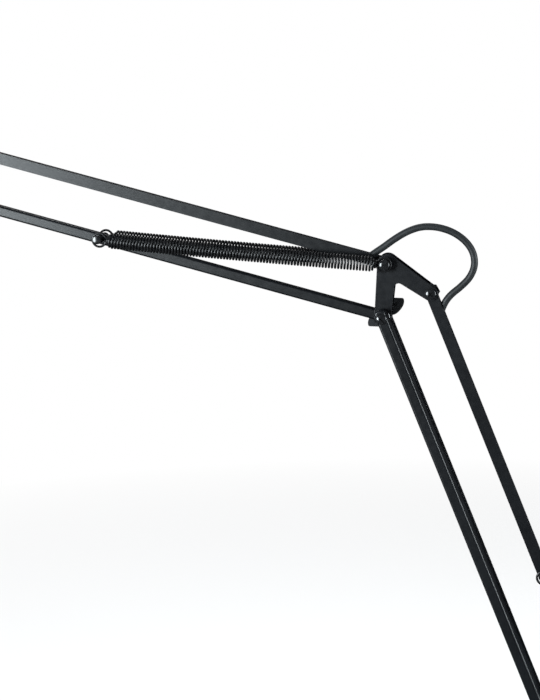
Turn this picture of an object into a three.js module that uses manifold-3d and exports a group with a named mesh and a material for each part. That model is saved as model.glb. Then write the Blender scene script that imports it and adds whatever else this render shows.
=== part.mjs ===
// A spring-balanced architect desk lamp with a round weighted base. Millimetres, +Z up.
// The origin is the centre of the base's underside. The arms fold in the XZ plane, and the front is -Y.
import * as THREE from 'three';
import { mergeVertices } from 'three/addons/utils/BufferGeometryUtils.js';
import Module from 'manifold-3d';

const wasm = await Module();
wasm.setup();

// ---- Driving dimensions ----------------------------------------------------------------------
const gap = 0.3; // between pieces that touch
const running = 0.35; // between pieces that slide over each other

const barSide = 10; // square tube, outside
const barWall = 1.1;
const barOverhang = 8; // of a bar past its pivot
const barEndRadius = 4;
const lowerArm = 430; // pivot to pivot
const upperArm = 440;
const lowerLean = THREE.MathUtils.degToRad(22.5); // from upright, towards -X
const upperRise = THREE.MathUtils.degToRad(14.1); // above level

const pivotSpacing = 48.5; // all three brackets share this triangle
const bracketTopAngle = THREE.MathUtils.degToRad(88);
const bracketSideAngle = THREE.MathUtils.degToRad(27);
const plateThickness = 1.5;
const cornerLobe = 8.9; // round a bracket's upper pivot
const cornerShift = 1.6; // of that lobe towards the side pivot
const lowLobe = 7.6;
const sideLobe = 6.6;
const baseLobe = 7;
const plateFillet = 4;

const boltRadius = 2.5;
const screwHeadRadius = 5.1;
const screwHeadHeight = 2.8;
const nutRadius = 5.9; // across corners, halved
const wideNutRadius = 7.2;
const nutHeight = 4.6;
const slotWidth = 1.3;
const slotDepth = 1.1;
const washerRadius = 6.6;
const washerThickness = 1.8;
const washerPlay = 0.25; // on each face of a washer
const boltTail = 3; // of a bolt past its nut
const spoolRadius = 4.3;

const coilRadius = 7.2; // the springs' coils, outside
const springWire = 1.8;
const springFormWall = 0.7; // of the sleeve that stands for the coils, so that it weighs what they do
const springRingRadius = 6.2; // the end loops, to the middle of the wire
const springClear = 1; // between a spring's coils and the sides of the bars
const springPinRadius = 3.3;
const springPinHead = 3.9;
const springPinRim = 1.6; // thickness of a pin's head
const upperSpringReach = 271; // from the elbow's bottom pivot to the upper spring pin
const lowerSpringReach = 152; // from the base's right pivot to the lower spring pin
const postOffset = new THREE.Vector2(13, 34); // from the base's right pivot to the spring post

const leadDiameter = 6.4;
const leadClearance = 0.45;

const baseRadius = 120;
const baseHeight = 22;
const baseShell = 1.6;
const baseEdgeRadius = 6;
const padThickness = 1.6;
const padInset = 7;
const weightInset = 3;
const bossRadius = 17;
const bossHeight = 13;
const stemRadius = 8;
const stemFoot = 7;
const stemBore = 4.2;
const stemClear = 4; // round the stem inside the cover and the weight
const collarRadius = 19;
const collarHeight = 6;
const yokeHalfWidth = 24;
const yokeHeight = 22;
const basePivotRise = 10; // of the left pivot above the yoke
const basePivotHalf = 21.6; // of the pivots either side of the swivel's axis

const wingReach = 20.5;
const wingWidth = 14.4;
const wingThickness = 1.7;
const wingHubRadius = 6;
const wingHubHeight = 8;
const wingDimple = 1.8;
const wingDimpleDepth = 1;

const headDrop = 17; // from the tilt pivot to the top of the socket cap
const headSetOff = 32; // from the tilt pivot to the shade's axis
const capRadius = 24;
const capHeight = 62;
const capWall = 1.2;
const shadeRim = 83;
const shadeNeckClear = 0.9; // between the shade's neck and the cap
const shadeHeight = 112;
const shadeWall = 1.1;
const holderRadius = 16;
const holderHeight = 44;
const holderDrop = 12; // of the holder below the top of the cap
const bulbRadius = 30;
const bulbLength = 92; // of the glass
const bulbNeck = 13;
const glassWall = 1.2;
const knobRadius = 8;
const knobLength = 14;

const coilInner = 25.4; // the put-away mains lead
const coilOuter = 45;
const coilHeight = 18;
const coilPlace = new THREE.Vector2(12, 226);
const reliefLength = 32;
const cordHeight = 7.4; // of the outlet above the table

// ---- Places worked out from them -------------------------------------------------------------
const halfBar = barSide / 2;
const plateInner = halfBar + 0.4;
const springOffset = halfBar + springClear + coilRadius; // from the lamp's middle plane to a spring
const plateOuter = plateInner + plateThickness;
const sideInner = plateOuter + washerThickness + 2 * washerPlay; // the lower arm's outside bars
const sideCentre = sideInner + halfBar;
const sideOuter = sideInner + barSide;
const leadRadius = leadDiameter / 2;

const baseTop = baseHeight;
const collarBottom = baseTop + bossHeight + gap;
const yokeBottom = collarBottom + collarHeight;
const yokeTop = yokeBottom + yokeHeight;

const lowerAxis = new THREE.Vector2(-Math.sin(lowerLean), Math.cos(lowerLean)); // up the lower arm
const upperAxis = new THREE.Vector2(-Math.cos(upperRise), Math.sin(upperRise)); // out along the upper arm
const polar = (length, angle) => new THREE.Vector2(length * Math.cos(angle), length * Math.sin(angle));
const along = (start, direction, distance) => start.clone().addScaledVector(direction, distance);

const toTop = polar(pivotSpacing, bracketTopAngle);
const toSide = polar(pivotSpacing, bracketSideAngle);
const baseLeft = new THREE.Vector2(-basePivotHalf, yokeTop + basePivotRise);
const baseRight = baseLeft.clone().add(toSide);
const basePost = baseRight.clone().add(postOffset);
const elbowBottom = along(baseLeft, lowerAxis, lowerArm);
const elbowRight = along(baseRight, lowerAxis, lowerArm);
const elbowTop = elbowBottom.clone().add(toTop);
const headTop = along(elbowTop, upperAxis, upperArm);
const headBottom = along(elbowBottom, upperAxis, upperArm);
const headTilt = new THREE.Vector2(headBottom.x - toSide.x, headBottom.y + toSide.y);
const upperPin = along(elbowBottom, upperAxis, upperSpringReach);
const lowerPin = along(baseRight, lowerAxis, lowerSpringReach);
const shadeAxis = headTilt.x - headSetOff;
const capTop = headTilt.y - headDrop;
const shadeNeck = capRadius + shadeNeckClear + shadeWall;
const shadeTop = capTop - capHeight + 10;
const shadeBottom = shadeTop - shadeHeight;

// ---- Solids: building, joining and cutting ----------------------------------------------------
function solid(geometry) {
  const bare = geometry.index ? geometry.clone() : geometry;
  bare.deleteAttribute('normal');
  bare.deleteAttribute('uv');
  const merged = mergeVertices(bare, 1e-4);
  const corners = merged.index.array;
  const faces = [];
  for (let i = 0; i < corners.length; i += 3) {
    const [a, b, c] = corners.subarray(i, i + 3);
    if (a !== b && b !== c && c !== a) faces.push(a, b, c);
  }
  return new wasm.Manifold(new wasm.Mesh({
    numProp: 3,
    vertProperties: new Float32Array(merged.attributes.position.array),
    triVerts: new Uint32Array(faces),
  }));
}

function geometryOf(body) {
  const mesh = body.getMesh();
  const geometry = new THREE.BufferGeometry();
  geometry.setAttribute('position', new THREE.BufferAttribute(mesh.vertProperties, 3));
  geometry.setIndex(new THREE.BufferAttribute(mesh.triVerts, 1));
  geometry.computeVertexNormals();
  return geometry;
}

const join = (...pieces) => geometryOf(pieces.map(solid).reduce((a, b) => a.add(b)));
const cut = (piece, ...tools) => geometryOf(tools.map(solid).reduce((a, b) => a.subtract(b), solid(piece)));

// A flat outline in X and Z, given thickness from y0 to y1.
function slab(shape, y0, y1, segments = 8) {
  const options = { depth: y1 - y0, bevelEnabled: false, curveSegments: segments };
  const geometry = new THREE.ExtrudeGeometry(shape, options);
  return geometry.rotateX(Math.PI / 2).translate(0, y1, 0);
}

// A profile of [radius, height] pairs, turned about its axis. It may be listed either way round.
function lathe(profile, segments) {
  const points = profile.map(([r, h]) => new THREE.Vector2(r, h));
  if (THREE.ShapeUtils.area(points) < 0) points.reverse();
  return new THREE.LatheGeometry(points, segments);
}

// A turned piece about the Y axis through (x, z).
const turned = (place, profile, segments = 12) => lathe(profile, segments).translate(place.x, 0, place.y);

// A turned piece about an upright axis.
const spun = (x, profile, segments = 32) =>
  lathe(profile, segments).rotateX(Math.PI / 2).translate(x, 0, 0);

const pinAlongY = (place, radius, y0, y1, segments = 12) =>
  turned(place, [[0, y0], [radius, y0], [radius, y1], [0, y1]], segments);

const ringAlongY = (place, outer, inner, y0, y1, segments = 12) =>
  turned(place, [[inner, y0], [outer, y0], [outer, y1], [inner, y1], [inner, y0]], segments);

// A round rod or cable of one radius along a list of points.
function tube(points, radius, steps, sides = 10) {
  const section = new THREE.Shape();
  section.absarc(0, 0, radius, 0, 2 * Math.PI);
  const path = new THREE.CatmullRomCurve3(points, false, 'centripetal');
  return new THREE.ExtrudeGeometry(section, {
    steps, extrudePath: path, bevelEnabled: false, curveSegments: sides / 2,
  });
}

const onPlane = (place, y = 0) => new THREE.Vector3(place.x, y, place.y);

// ---- Pieces that repeat ------------------------------------------------------------------------
// A square tube from pivot to pivot along X. Bores take the pivot bolts and the spring pin.
function squareBar(length, bores) {
  const left = -barOverhang;
  const right = length + barOverhang;
  const outline = new THREE.Shape();
  const corner = barEndRadius;
  outline.moveTo(left + corner, -halfBar);
  outline.lineTo(right - corner, -halfBar);
  outline.absarc(right - corner, -halfBar + corner, corner, -Math.PI / 2, 0);
  outline.absarc(right - corner, halfBar - corner, corner, 0, Math.PI / 2);
  outline.lineTo(left + corner, halfBar);
  outline.absarc(left + corner, halfBar - corner, corner, Math.PI / 2, Math.PI);
  outline.absarc(left + corner, -halfBar + corner, corner, Math.PI, 1.5 * Math.PI);
  const inside = barSide - 2 * barWall;
  const hollow = new THREE.BoxGeometry(right - left + 10, inside, inside)
    .translate((left + right) / 2, 0, 0);
  const drills = bores.map(([x, radius]) =>
    pinAlongY(new THREE.Vector2(x, 0), radius, -barSide, barSide, 12));
  return cut(slab(outline, -halfBar, halfBar, 2), hollow, ...drills);
}

// Arms are drawn along X and turned into place: X runs from the upper end to the lower end.
function placeBar(mesh, start, axis, y = 0) {
  mesh.position.copy(onPlane(start, y));
  mesh.rotation.y = -Math.atan2(axis.y, axis.x);
  return mesh;
}

const upperRun = upperAxis.clone().negate(); // from the head to the elbow
const lowerRun = lowerAxis.clone().negate(); // from the elbow to the base

// A point in a bar's own frame from a point in the lamp's frame.
function inBar(point, start, run) {
  const d = point.clone().sub(start);
  return new THREE.Vector3(d.dot(run), 0, d.x * -run.y + d.y * run.x);
}

// A bracket plate: two tapering legs from its corner to two arms' pivots, with a filleted inside.
function bracketShape(corner, low, side) {
  const centre = corner.clone();
  centre.x += Math.sign(side.x - corner.x) * cornerShift;
  const legs = [[low, lowLobe], [side, sideLobe]].map(([end, radius]) => {
    const run = end.clone().sub(centre);
    const open = Math.acos((cornerLobe - radius) / run.length());
    return { end, radius, open, angle: Math.atan2(run.y, run.x) };
  });
  const turn = Math.sign(Math.sin(legs[1].angle - legs[0].angle));
  // Headings square to the four straight edges.
  const outer = [legs[0].angle - turn * legs[0].open, legs[1].angle + turn * legs[1].open];
  const inner = [legs[0].angle + turn * legs[0].open, legs[1].angle - turn * legs[1].open];
  const half = (inner[1] - inner[0]) / 2;
  const filletCentre = centre.clone().add(
    polar((cornerLobe + plateFillet) / Math.cos(half), inner[0] + half));
  const outline = new THREE.Shape();
  const arc = (place, radius, from, to, clockwise) =>
    outline.absarc(place.x, place.y, radius, from, to, clockwise);
  const clockwise = turn < 0;
  arc(centre, cornerLobe, outer[1], outer[0], clockwise);
  arc(legs[0].end, legs[0].radius, outer[0], inner[0], clockwise);
  arc(filletCentre, plateFillet, inner[0] + Math.PI, inner[1] + Math.PI, !clockwise);
  arc(legs[1].end, legs[1].radius, inner[1], outer[1], clockwise);
  return outline;
}

// Holes wind the other way from the outline that they are in.
function drilled(shape, places, radius = boltRadius + gap) {
  const clockwise = !THREE.ShapeUtils.isClockWise(shape.getPoints());
  for (const place of places) {
    const hole = new THREE.Path();
    const [from, to] = clockwise ? [2 * Math.PI, 0] : [0, 2 * Math.PI];
    hole.absarc(place.x, place.y, radius, from, to, clockwise);
    shape.holes.push(hole);
  }
  return shape;
}

const plateAt = (shape, side) =>
  side < 0 ? slab(shape, -plateOuter, -plateInner, 6) : slab(shape, plateInner, plateOuter, 6);

// A domed screw, seen from the front. Its head's underside is at y = seat and its shank ends at y = end.
function screw(place, seat, end, slots, headRadius = screwHeadRadius) {
  const top = seat - screwHeadHeight;
  const body = turned(place, [
    [0, top], [headRadius * 0.55, top + 0.25], [headRadius * 0.88, top + 1],
    [headRadius, top + 1.9], [headRadius, seat], [boltRadius, seat], [boltRadius, end], [0, end],
  ]);
  const slotTools = slots.map((angle) =>
    new THREE.BoxGeometry(2.4 * headRadius, 2 * slotDepth, slotWidth)
      .rotateY(-angle)
      .translate(place.x, top, place.y));
  return slots.length ? cut(body, ...slotTools) : body;
}

function hexNut(place, y0, turn, radius = nutRadius) {
  const body = new THREE.CylinderGeometry(radius, radius, nutHeight, 6)
    .rotateY(turn)
    .translate(place.x, y0 + nutHeight / 2, place.y);
  return cut(body, pinAlongY(place, boltRadius + gap, y0 - 1, y0 + nutHeight + 1));
}

// A pressed wing nut: a hub and two flat ears, each with a small dimple in front.
function wingNut(place, y0, angle) {
  const ears = new THREE.Shape();
  const waist = wingHubRadius * 0.9;
  const wide = wingWidth / 2;
  for (const side of [1, -1]) {
    const point = (x, z) => [side * wingReach * x, side * z];
    if (side > 0) ears.moveTo(...point(0.12, waist));
    else ears.lineTo(...point(0.12, waist));
    ears.quadraticCurveTo(...point(0.39, wide * 1.06), ...point(0.615, wide * 0.97));
    ears.lineTo(...point(0.97, wide * 0.04));
    ears.quadraticCurveTo(...point(1.02, -wide * 0.13), ...point(0.985, -wide * 0.28));
    ears.quadraticCurveTo(...point(0.91, -wide * 0.64), ...point(0.755, -wide * 0.82));
    ears.quadraticCurveTo(...point(0.54, -wide * 1.05), ...point(0.33, -wide));
    ears.quadraticCurveTo(...point(0.2, -wide * 0.95), ...point(0.12, -waist));
  }
  const hubTop = y0 + wingHubHeight;
  const origin = new THREE.Vector2(0, 0);
  const hub = turned(origin, [[0, y0], [wingHubRadius, y0], [wingHubRadius * 0.82, hubTop], [0, hubTop]]);
  const earFront = y0 + 2;
  const dimples = [-1, 1].map((side) => pinAlongY(
    new THREE.Vector2(side * wingReach * 0.58, 0), wingDimple, y0, earFront + wingDimpleDepth));
  const plate = cut(slab(ears, earFront, earFront + wingThickness, 4), ...dimples);
  const bored = cut(join(hub, plate), pinAlongY(origin, boltRadius + gap, y0 - 1, hubTop + 1));
  return bored.rotateY(-angle).translate(place.x, 0, place.y);
}

// A tension spring's outer form: its coils as one rod, with the loop and shank at each end.
function springForm(from, fromSeat, to, toSeat, y) {
  const run = to.clone().sub(from).normalize();
  const hug = springRingRadius - springWire / 2 - gap;
  const startRing = along(from, run, hug - fromSeat);
  const endRing = along(to, run, toSeat - hug);
  const bodyStart = along(startRing, run, springRingRadius + 3);
  const bodyEnd = along(endRing, run, -springRingRadius - 3);
  const length = bodyStart.distanceTo(bodyEnd);
  const inner = coilRadius - springFormWall;
  const coils = lathe([[inner, 0], [coilRadius, 0], [coilRadius, length], [inner, length], [inner, 0]], 12)
    .rotateZ(-Math.PI / 2)
    .rotateY(-Math.atan2(run.y, run.x))
    .translate(bodyStart.x, y, bodyStart.y);
  const rings = [startRing, endRing].map((centre) =>
    new THREE.TorusGeometry(springRingRadius, springWire / 2, 5, 12)
      .rotateX(Math.PI / 2)
      .translate(centre.x, y, centre.y));
  const edge = new THREE.Vector2(-run.y, run.x).multiplyScalar(coilRadius - springFormWall / 2);
  const shanks = [[startRing, bodyStart], [endRing, bodyEnd]].map(([ring, body]) => {
    const way = body.clone().sub(ring).normalize();
    const far = along(body, way, 2).add(edge);
    return tube([onPlane(along(ring, way, springRingRadius), y), onPlane(far, y)], springWire / 2, 1, 6);
  });
  return join(coils, ...rings, ...shanks);
}

// A pin through a bar, with a head outside each spring's loop.
function springPin(place) {
  const headInside = springOffset + springWire / 2 + 0.5;
  const end = headInside + springPinRim;
  const chamfer = springPinRim / 2;
  const half = [
    [springPinRadius, headInside], [springPinHead, headInside], [springPinHead, end - chamfer],
    [springPinHead - chamfer, end], [0, end],
  ];
  const front = half.map(([r, y]) => [r, -y]).reverse();
  return turned(place, [...front, ...half]);
}

// ---- The lamp -----------------------------------------------------------------------------------
const lamp = new THREE.Group();
const finishes = {
  blackPaint: { color: 0x1b1d20, roughness: 0.42, metalness: 0.1 },
  blackHardware: { color: 0x141516, roughness: 0.25, metalness: 0.6 },
  springSteel: { color: 0x2a2c2f, roughness: 0.3, metalness: 0.8 },
  castIron: { color: 0x303234, roughness: 0.8, metalness: 0.4 },
  leadSheath: { color: 0x1c1e1f, roughness: 0.6, metalness: 0 },
  mouldedPlastic: { color: 0x17181a, roughness: 0.5, metalness: 0 },
  felt: { color: 0x22262a, roughness: 1, metalness: 0 },
  glass: { color: 0xf4f2ec, roughness: 0.15, metalness: 0 },
};

function add(name, finish, geometry) {
  const mesh = new THREE.Mesh(geometry, new THREE.MeshStandardMaterial(finishes[finish]));
  mesh.name = name;
  lamp.add(mesh);
  return mesh;
}

// Leads. The loops' points are chosen by hand and lie in the lamp's middle plane.
const elbowLoop = [
  [-14.2, 53], [-9.1, 57], [-0.8, 62.8], [8.3, 69.6], [16.6, 75], [24.6, 79], [33.1, 81.6], [42, 82.2],
  [51.4, 81], [60.6, 78], [68.9, 73.2], [75.5, 67], [80, 59.6], [81.7, 51.3], [80.5, 43.3], [76.3, 35.4],
  [69.2, 28], [61.9, 21.6], [56.8, 15.4], [53.6, 8.8], [51.6, 3],
].map(([x, z]) => new THREE.Vector3(elbowBottom.x + x, 0, elbowBottom.y + z));
const elbowLoopSplit = 9; // the point at which one stretch meets the other

const baseLoop = [
  [-8, 26], [-3, 21], [3.5, 17.2], [12, 14.6], [20.8, 12], [29, 7.4], [35.2, 0.2], [38.6, -8.6],
  [38.4, -18], [34.4, -26.6], [27.4, -33], [18.6, -36.6], [9.4, -37.9], [-2, -38],
].map(([x, z]) => new THREE.Vector3(baseRight.x + x, 0, baseRight.y + z));

const headLoop = [
  [14.5, 1.2], [9.4, 5], [1.6, 11.6], [-7.6, 18.4], [-18, 23.8], [-29.4, 26.6], [-41, 26.4], [-52, 23],
  [-61.6, 16.6], [-68.8, 7.6], [-73.2, -3.2], [-75.2, -14.6],
].map(([x, z]) => new THREE.Vector3(headTop.x + x, 0, headTop.y + z));
headLoop.push(new THREE.Vector3(shadeAxis, 0, capTop + 7), new THREE.Vector3(shadeAxis, 0, capTop - 6));
const headLoopSplit = 5;

const leadTube = (points) => tube(points, leadRadius, points.length + 2, 8);
const leadJoint = 1.6; // between two stretches of one lead
const shortened = (points) => {
  const list = points.map((p) => p.clone());
  const [next, last] = list.slice(-2);
  last.lerp(next, leadJoint / last.distanceTo(next));
  return list;
};

// The opening that a lead leaves a bar by, as a cutter in the bar's own frame.
function leadCutter(points, start, run) {
  const inside = points.map((p) => inBar(new THREE.Vector2(p.x, p.z), start, run));
  return tube(inside, leadRadius + leadClearance, points.length, 12);
}

// Base
add('base_pad', 'felt', spun(0, [[0, 0], [baseRadius - padInset, 0], [baseRadius - padInset, padThickness],
  [0, padThickness]], 40));

const weightTop = baseTop - baseShell - gap;
const weightBottom = padThickness + gap;
const weightRadius = baseRadius - baseShell - weightInset;
const socketBore = stemRadius + stemClear;
const weightBlank = spun(0, [[socketBore, weightBottom], [weightRadius, weightBottom],
  [weightRadius, weightTop - baseEdgeRadius], [weightRadius - baseEdgeRadius, weightTop],
  [socketBore, weightTop], [socketBore, weightBottom]], 40);
const channelHeight = 12;
const cordChannel = new THREE.BoxGeometry(leadDiameter + 10, weightRadius, channelHeight)
  .translate(0, weightRadius / 2 + stemRadius, weightBottom + channelHeight / 2 - gap);
add('base_weight', 'castIron', cut(weightBlank, cordChannel));

const shellIn = baseRadius - baseShell;
const coverOuter = [[baseRadius, padThickness]];
const coverInner = [[shellIn, padThickness]];
const edgeSteps = 3;
for (let i = 0; i <= edgeSteps; i++) {
  const angle = (i / edgeSteps) * Math.PI / 2;
  const x = baseRadius - baseEdgeRadius + baseEdgeRadius * Math.cos(angle);
  const z = baseTop - baseEdgeRadius + baseEdgeRadius * Math.sin(angle);
  coverOuter.push([x, z]);
  coverInner.push([Math.min(shellIn, x - baseShell * Math.cos(angle)), z - baseShell * Math.sin(angle)]);
}
const coverProfile = [...coverOuter, [socketBore, baseTop], [socketBore, baseTop - baseShell],
  ...coverInner.reverse(), coverOuter[0]];
const outletPlace = new THREE.Vector2(0, cordHeight);
const sleeveRadius = leadRadius + 1.9; // of the strain relief where it passes through the cover
const outletBore = pinAlongY(outletPlace, sleeveRadius + gap, baseRadius - 20, baseRadius + 10);
add('base_cover', 'blackPaint', cut(spun(0, coverProfile, 40), outletBore));

add('swivel_socket', 'blackHardware', spun(0, [
  [stemRadius + running, stemFoot], [socketBore - gap, stemFoot], [socketBore - gap, baseTop + gap],
  [bossRadius, baseTop + gap], [bossRadius, baseTop + bossHeight - 1.5],
  [bossRadius - 1.5, baseTop + bossHeight], [stemRadius + running, baseTop + bossHeight],
  [stemRadius + running, stemFoot],
], 32));

// Swivel and base bracket
const stem = spun(0, [[0, stemFoot], [stemRadius, stemFoot], [stemRadius, collarBottom],
  [collarRadius - 1.5, collarBottom], [collarRadius, collarBottom + 1.5],
  [collarRadius, yokeBottom - 1], [collarRadius - 1, yokeBottom], [0, yokeBottom]], 32);
const yokeHalfDepth = plateInner - 0.2;
const yokeBlock = new THREE.BoxGeometry(2 * yokeHalfWidth, 2 * yokeHalfDepth, yokeHeight + 1)
  .translate(0, 0, yokeBottom + yokeHeight / 2 - 0.5);
const leadEntry = baseLoop[baseLoop.length - 1].z;
const stemHole = new THREE.CylinderGeometry(stemBore, stemBore, leadEntry - stemFoot + 10, 20)
  .rotateX(Math.PI / 2)
  .translate(0, 0, (leadEntry + stemFoot - 10) / 2);
const entryHole = new THREE.CylinderGeometry(leadRadius + leadClearance, leadRadius + leadClearance, 60, 16)
  .rotateZ(Math.PI / 2)
  .translate(30, 0, leadEntry);
add('swivel_yoke', 'blackPaint', cut(join(stem, yokeBlock), stemHole, entryHole));

// The outline round a set of lobes, all of one radius, listed anticlockwise.
function hullOutline(lobes, radius) {
  const outline = new THREE.Shape();
  lobes.forEach((lobe, i) => {
    const before = lobes[(i + lobes.length - 1) % lobes.length];
    const after = lobes[(i + 1) % lobes.length];
    const from = Math.atan2(lobe.y - before.y, lobe.x - before.x) - Math.PI / 2;
    const to = Math.atan2(after.y - lobe.y, after.x - lobe.x) - Math.PI / 2;
    outline.absarc(lobe.x, lobe.y, radius, from, to);
  });
  return outline;
}
const footInset = 6;
const plateFeet = [-1, 1].map((side) =>
  new THREE.Vector2(side * (yokeHalfWidth - footInset), yokeBottom + footInset + 1));
const postFoot = along(baseRight, new THREE.Vector2(-1, 0), 3);
const basePlateBlank = (side) => join(
  plateAt(hullOutline([baseRight, baseLeft, plateFeet[0], plateFeet[1]], baseLobe), side),
  plateAt(hullOutline([basePost, postFoot, baseRight], baseLobe), side),
);
const bore = boltRadius + gap;
const pinBore = springPinRadius + gap;
const throughAll = 20;
const baseBores = [[baseLeft, bore], [baseRight, bore], [basePost, pinBore]].map(([place, radius]) =>
  pinAlongY(place, radius, -throughAll, throughAll));
for (const [name, side] of [['base_plate_front', -1], ['base_plate_rear', 1]]) {
  add(name, 'blackPaint', cut(basePlateBlank(side), ...baseBores));
}
add('base_spring_post', 'blackHardware', springPin(basePost));

const frontSeat = -plateOuter - gap;
const plateBoltEnd = plateOuter + nutHeight + boltTail;
add('base_right_bolt', 'blackHardware', screw(baseRight, frontSeat, plateBoltEnd, [0.4]));
add('base_right_nut', 'blackHardware', hexNut(baseRight, plateOuter + gap, 0.2));
add('base_left_bolt', 'blackHardware',
  screw(baseLeft, -sideOuter - gap, sideOuter + nutHeight + boltTail, [1.2]));
add('base_left_nut', 'blackHardware', hexNut(baseLeft, sideOuter + gap, 0.5));

// Lower arm
const centreBar = cut(
  squareBar(lowerArm, [[0, bore], [lowerArm, bore], [lowerArm - lowerSpringReach, pinBore]]),
  leadCutter(elbowLoop.slice(-4), elbowRight, lowerRun),
  leadCutter(baseLoop.slice(0, 4), elbowRight, lowerRun),
);
placeBar(add('lower_center_bar', 'blackPaint', centreBar), elbowRight, lowerRun);
for (const [name, y] of [['lower_front_bar', -sideCentre], ['lower_rear_bar', sideCentre]]) {
  const bar = squareBar(lowerArm, [[0, bore], [lowerArm, bore]]);
  placeBar(add(name, 'blackPaint', bar), elbowBottom, lowerRun, y);
}
add('lower_spring_pin', 'blackHardware', springPin(lowerPin));
for (const [name, y] of [['lower_spring_front', -springOffset], ['lower_spring_rear', springOffset]]) {
  add(name, 'springSteel', springForm(lowerPin, springPinRadius, basePost, springPinRadius, y));
}
const leadInset = 32; // from a pivot to where the lead inside a bar begins
const insideLead = (start, run, from, to) => {
  const resting = barWall + gap + leadRadius - halfBar; // the lead lies on the tube's lower wall
  const side = new THREE.Vector2(-run.y, run.x).multiplyScalar(resting);
  return tube([from, to].map((s) => onPlane(along(start, run, s).add(side))), leadRadius, 1, 8);
};
const pinClear = springPinRadius + leadRadius + 2;
add('lower_lead', 'leadSheath',
  insideLead(elbowRight, lowerRun, leadInset, lowerArm - lowerSpringReach - pinClear));

// Elbow
const bracket = (corner, low, side) => drilled(bracketShape(corner, low, side), [corner, low, side]);
for (const [name, side] of [['elbow_plate_front', -1], ['elbow_plate_rear', 1]]) {
  add(name, 'blackPaint', plateAt(bracket(elbowTop, elbowBottom, elbowRight), side));
}
const spoolEnd = springOffset + springWire / 2 + 1.5;
add('elbow_top_bolt', 'blackHardware',
  screw(elbowTop, -spoolEnd - gap, spoolEnd + nutHeight + boltTail, [0.52]));
add('elbow_top_nut', 'blackHardware', hexNut(elbowTop, spoolEnd + gap, 0.3));
for (const [name, near, far] of [['elbow_spool_front', -spoolEnd, -plateOuter - gap],
  ['elbow_spool_rear', plateOuter + gap, spoolEnd]]) {
  add(name, 'blackHardware', ringAlongY(elbowTop, spoolRadius, bore, near, far));
}
add('elbow_right_bolt', 'blackHardware',
  screw(elbowRight, frontSeat, plateBoltEnd, [0.75, 0.75 + Math.PI / 2]));
add('elbow_right_nut', 'blackHardware', hexNut(elbowRight, plateOuter + gap, Math.PI / 6, wideNutRadius));
add('elbow_bottom_bolt', 'blackHardware',
  screw(elbowBottom, -sideOuter - gap, sideOuter + wingHubHeight + boltTail, [2.4]));
for (const [name, near, far] of [['elbow_washer_front', -sideInner, -plateOuter],
  ['elbow_washer_rear', plateOuter, sideInner]]) {
  const washer = ringAlongY(elbowBottom, washerRadius, bore, near + washerPlay, far - washerPlay);
  add(name, 'blackHardware', washer);
}
add('elbow_wing_nut', 'blackHardware', wingNut(elbowBottom, sideOuter + gap, 0.73));
add('elbow_lead_upper', 'leadSheath', leadTube(shortened(elbowLoop.slice(0, elbowLoopSplit + 1))));
add('elbow_lead_lower', 'leadSheath', leadTube(elbowLoop.slice(elbowLoopSplit)));
add('base_lead', 'leadSheath', leadTube(baseLoop));

// Upper arm
const topBar = cut(
  squareBar(upperArm, [[0, bore], [upperArm, bore]]),
  leadCutter(elbowLoop.slice(0, 4), headTop, upperRun),
  leadCutter(headLoop.slice(0, 4), headTop, upperRun),
);
placeBar(add('upper_top_bar', 'blackPaint', topBar), headTop, upperRun);
const bottomBar = squareBar(upperArm,
  [[0, bore], [upperArm, bore], [upperArm - upperSpringReach, pinBore]]);
placeBar(add('upper_bottom_bar', 'blackPaint', bottomBar), headBottom, upperRun);
add('upper_lead', 'leadSheath', insideLead(headTop, upperRun, leadInset, upperArm - leadInset));
add('upper_spring_pin', 'blackHardware', springPin(upperPin));
for (const [name, y] of [['upper_spring_front', -springOffset], ['upper_spring_rear', springOffset]]) {
  add(name, 'springSteel', springForm(upperPin, springPinRadius, elbowTop, spoolRadius, y));
}

// Head bracket
for (const [name, side] of [['head_plate_front', -1], ['head_plate_rear', 1]]) {
  add(name, 'blackPaint', plateAt(bracket(headTop, headBottom, headTilt), side));
}
const boltWithNut = (place, slots) => join(
  screw(place, frontSeat, plateBoltEnd, slots),
  new THREE.CylinderGeometry(nutRadius, nutRadius, nutHeight, 6)
    .translate(place.x, plateOuter + gap + nutHeight / 2, place.y),
);
add('head_top_bolt', 'blackHardware', boltWithNut(headTop, [0.9]));
add('head_bottom_bolt', 'blackHardware', boltWithNut(headBottom, [2.1]));
add('head_tilt_bolt', 'blackHardware',
  screw(headTilt, frontSeat, plateOuter + wingHubHeight + boltTail, [1.6]));
add('head_wing_nut', 'blackHardware', wingNut(headTilt, plateOuter + gap, 0.35));
add('head_lead_upper', 'leadSheath', leadTube(shortened(headLoop.slice(0, headLoopSplit + 1))));
add('head_lead_lower', 'leadSheath', leadTube(headLoop.slice(headLoopSplit)));

// Head
const knuckleHalf = plateInner - running;
const knuckleLobe = 6.5;
const footRadius = 15;
const footTop = capTop + 6;
const knuckleCorner = new THREE.Vector2(shadeAxis + 9, capTop + 9);
const knuckleLobes = [headTilt, along(headTilt, new THREE.Vector2(-1, 0), 6), knuckleCorner,
  along(knuckleCorner, new THREE.Vector2(1, 0), 8)];
const knuckleArm = slab(hullOutline(knuckleLobes, knuckleLobe), -knuckleHalf, knuckleHalf, 5);
const knuckleFoot = spun(shadeAxis, [[0, capTop + gap], [footRadius, capTop + gap],
  [footRadius, capTop + 3], [footRadius - 2.5, footTop], [0, footTop]], 28);
const neckBore = new THREE.CylinderGeometry(leadRadius + leadClearance, leadRadius + leadClearance, 60, 16)
  .rotateX(Math.PI / 2)
  .translate(shadeAxis, 0, capTop + 10);
add('head_knuckle', 'blackPaint',
  cut(join(knuckleArm, knuckleFoot), neckBore, pinAlongY(headTilt, bore, -throughAll, throughAll)));

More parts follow.
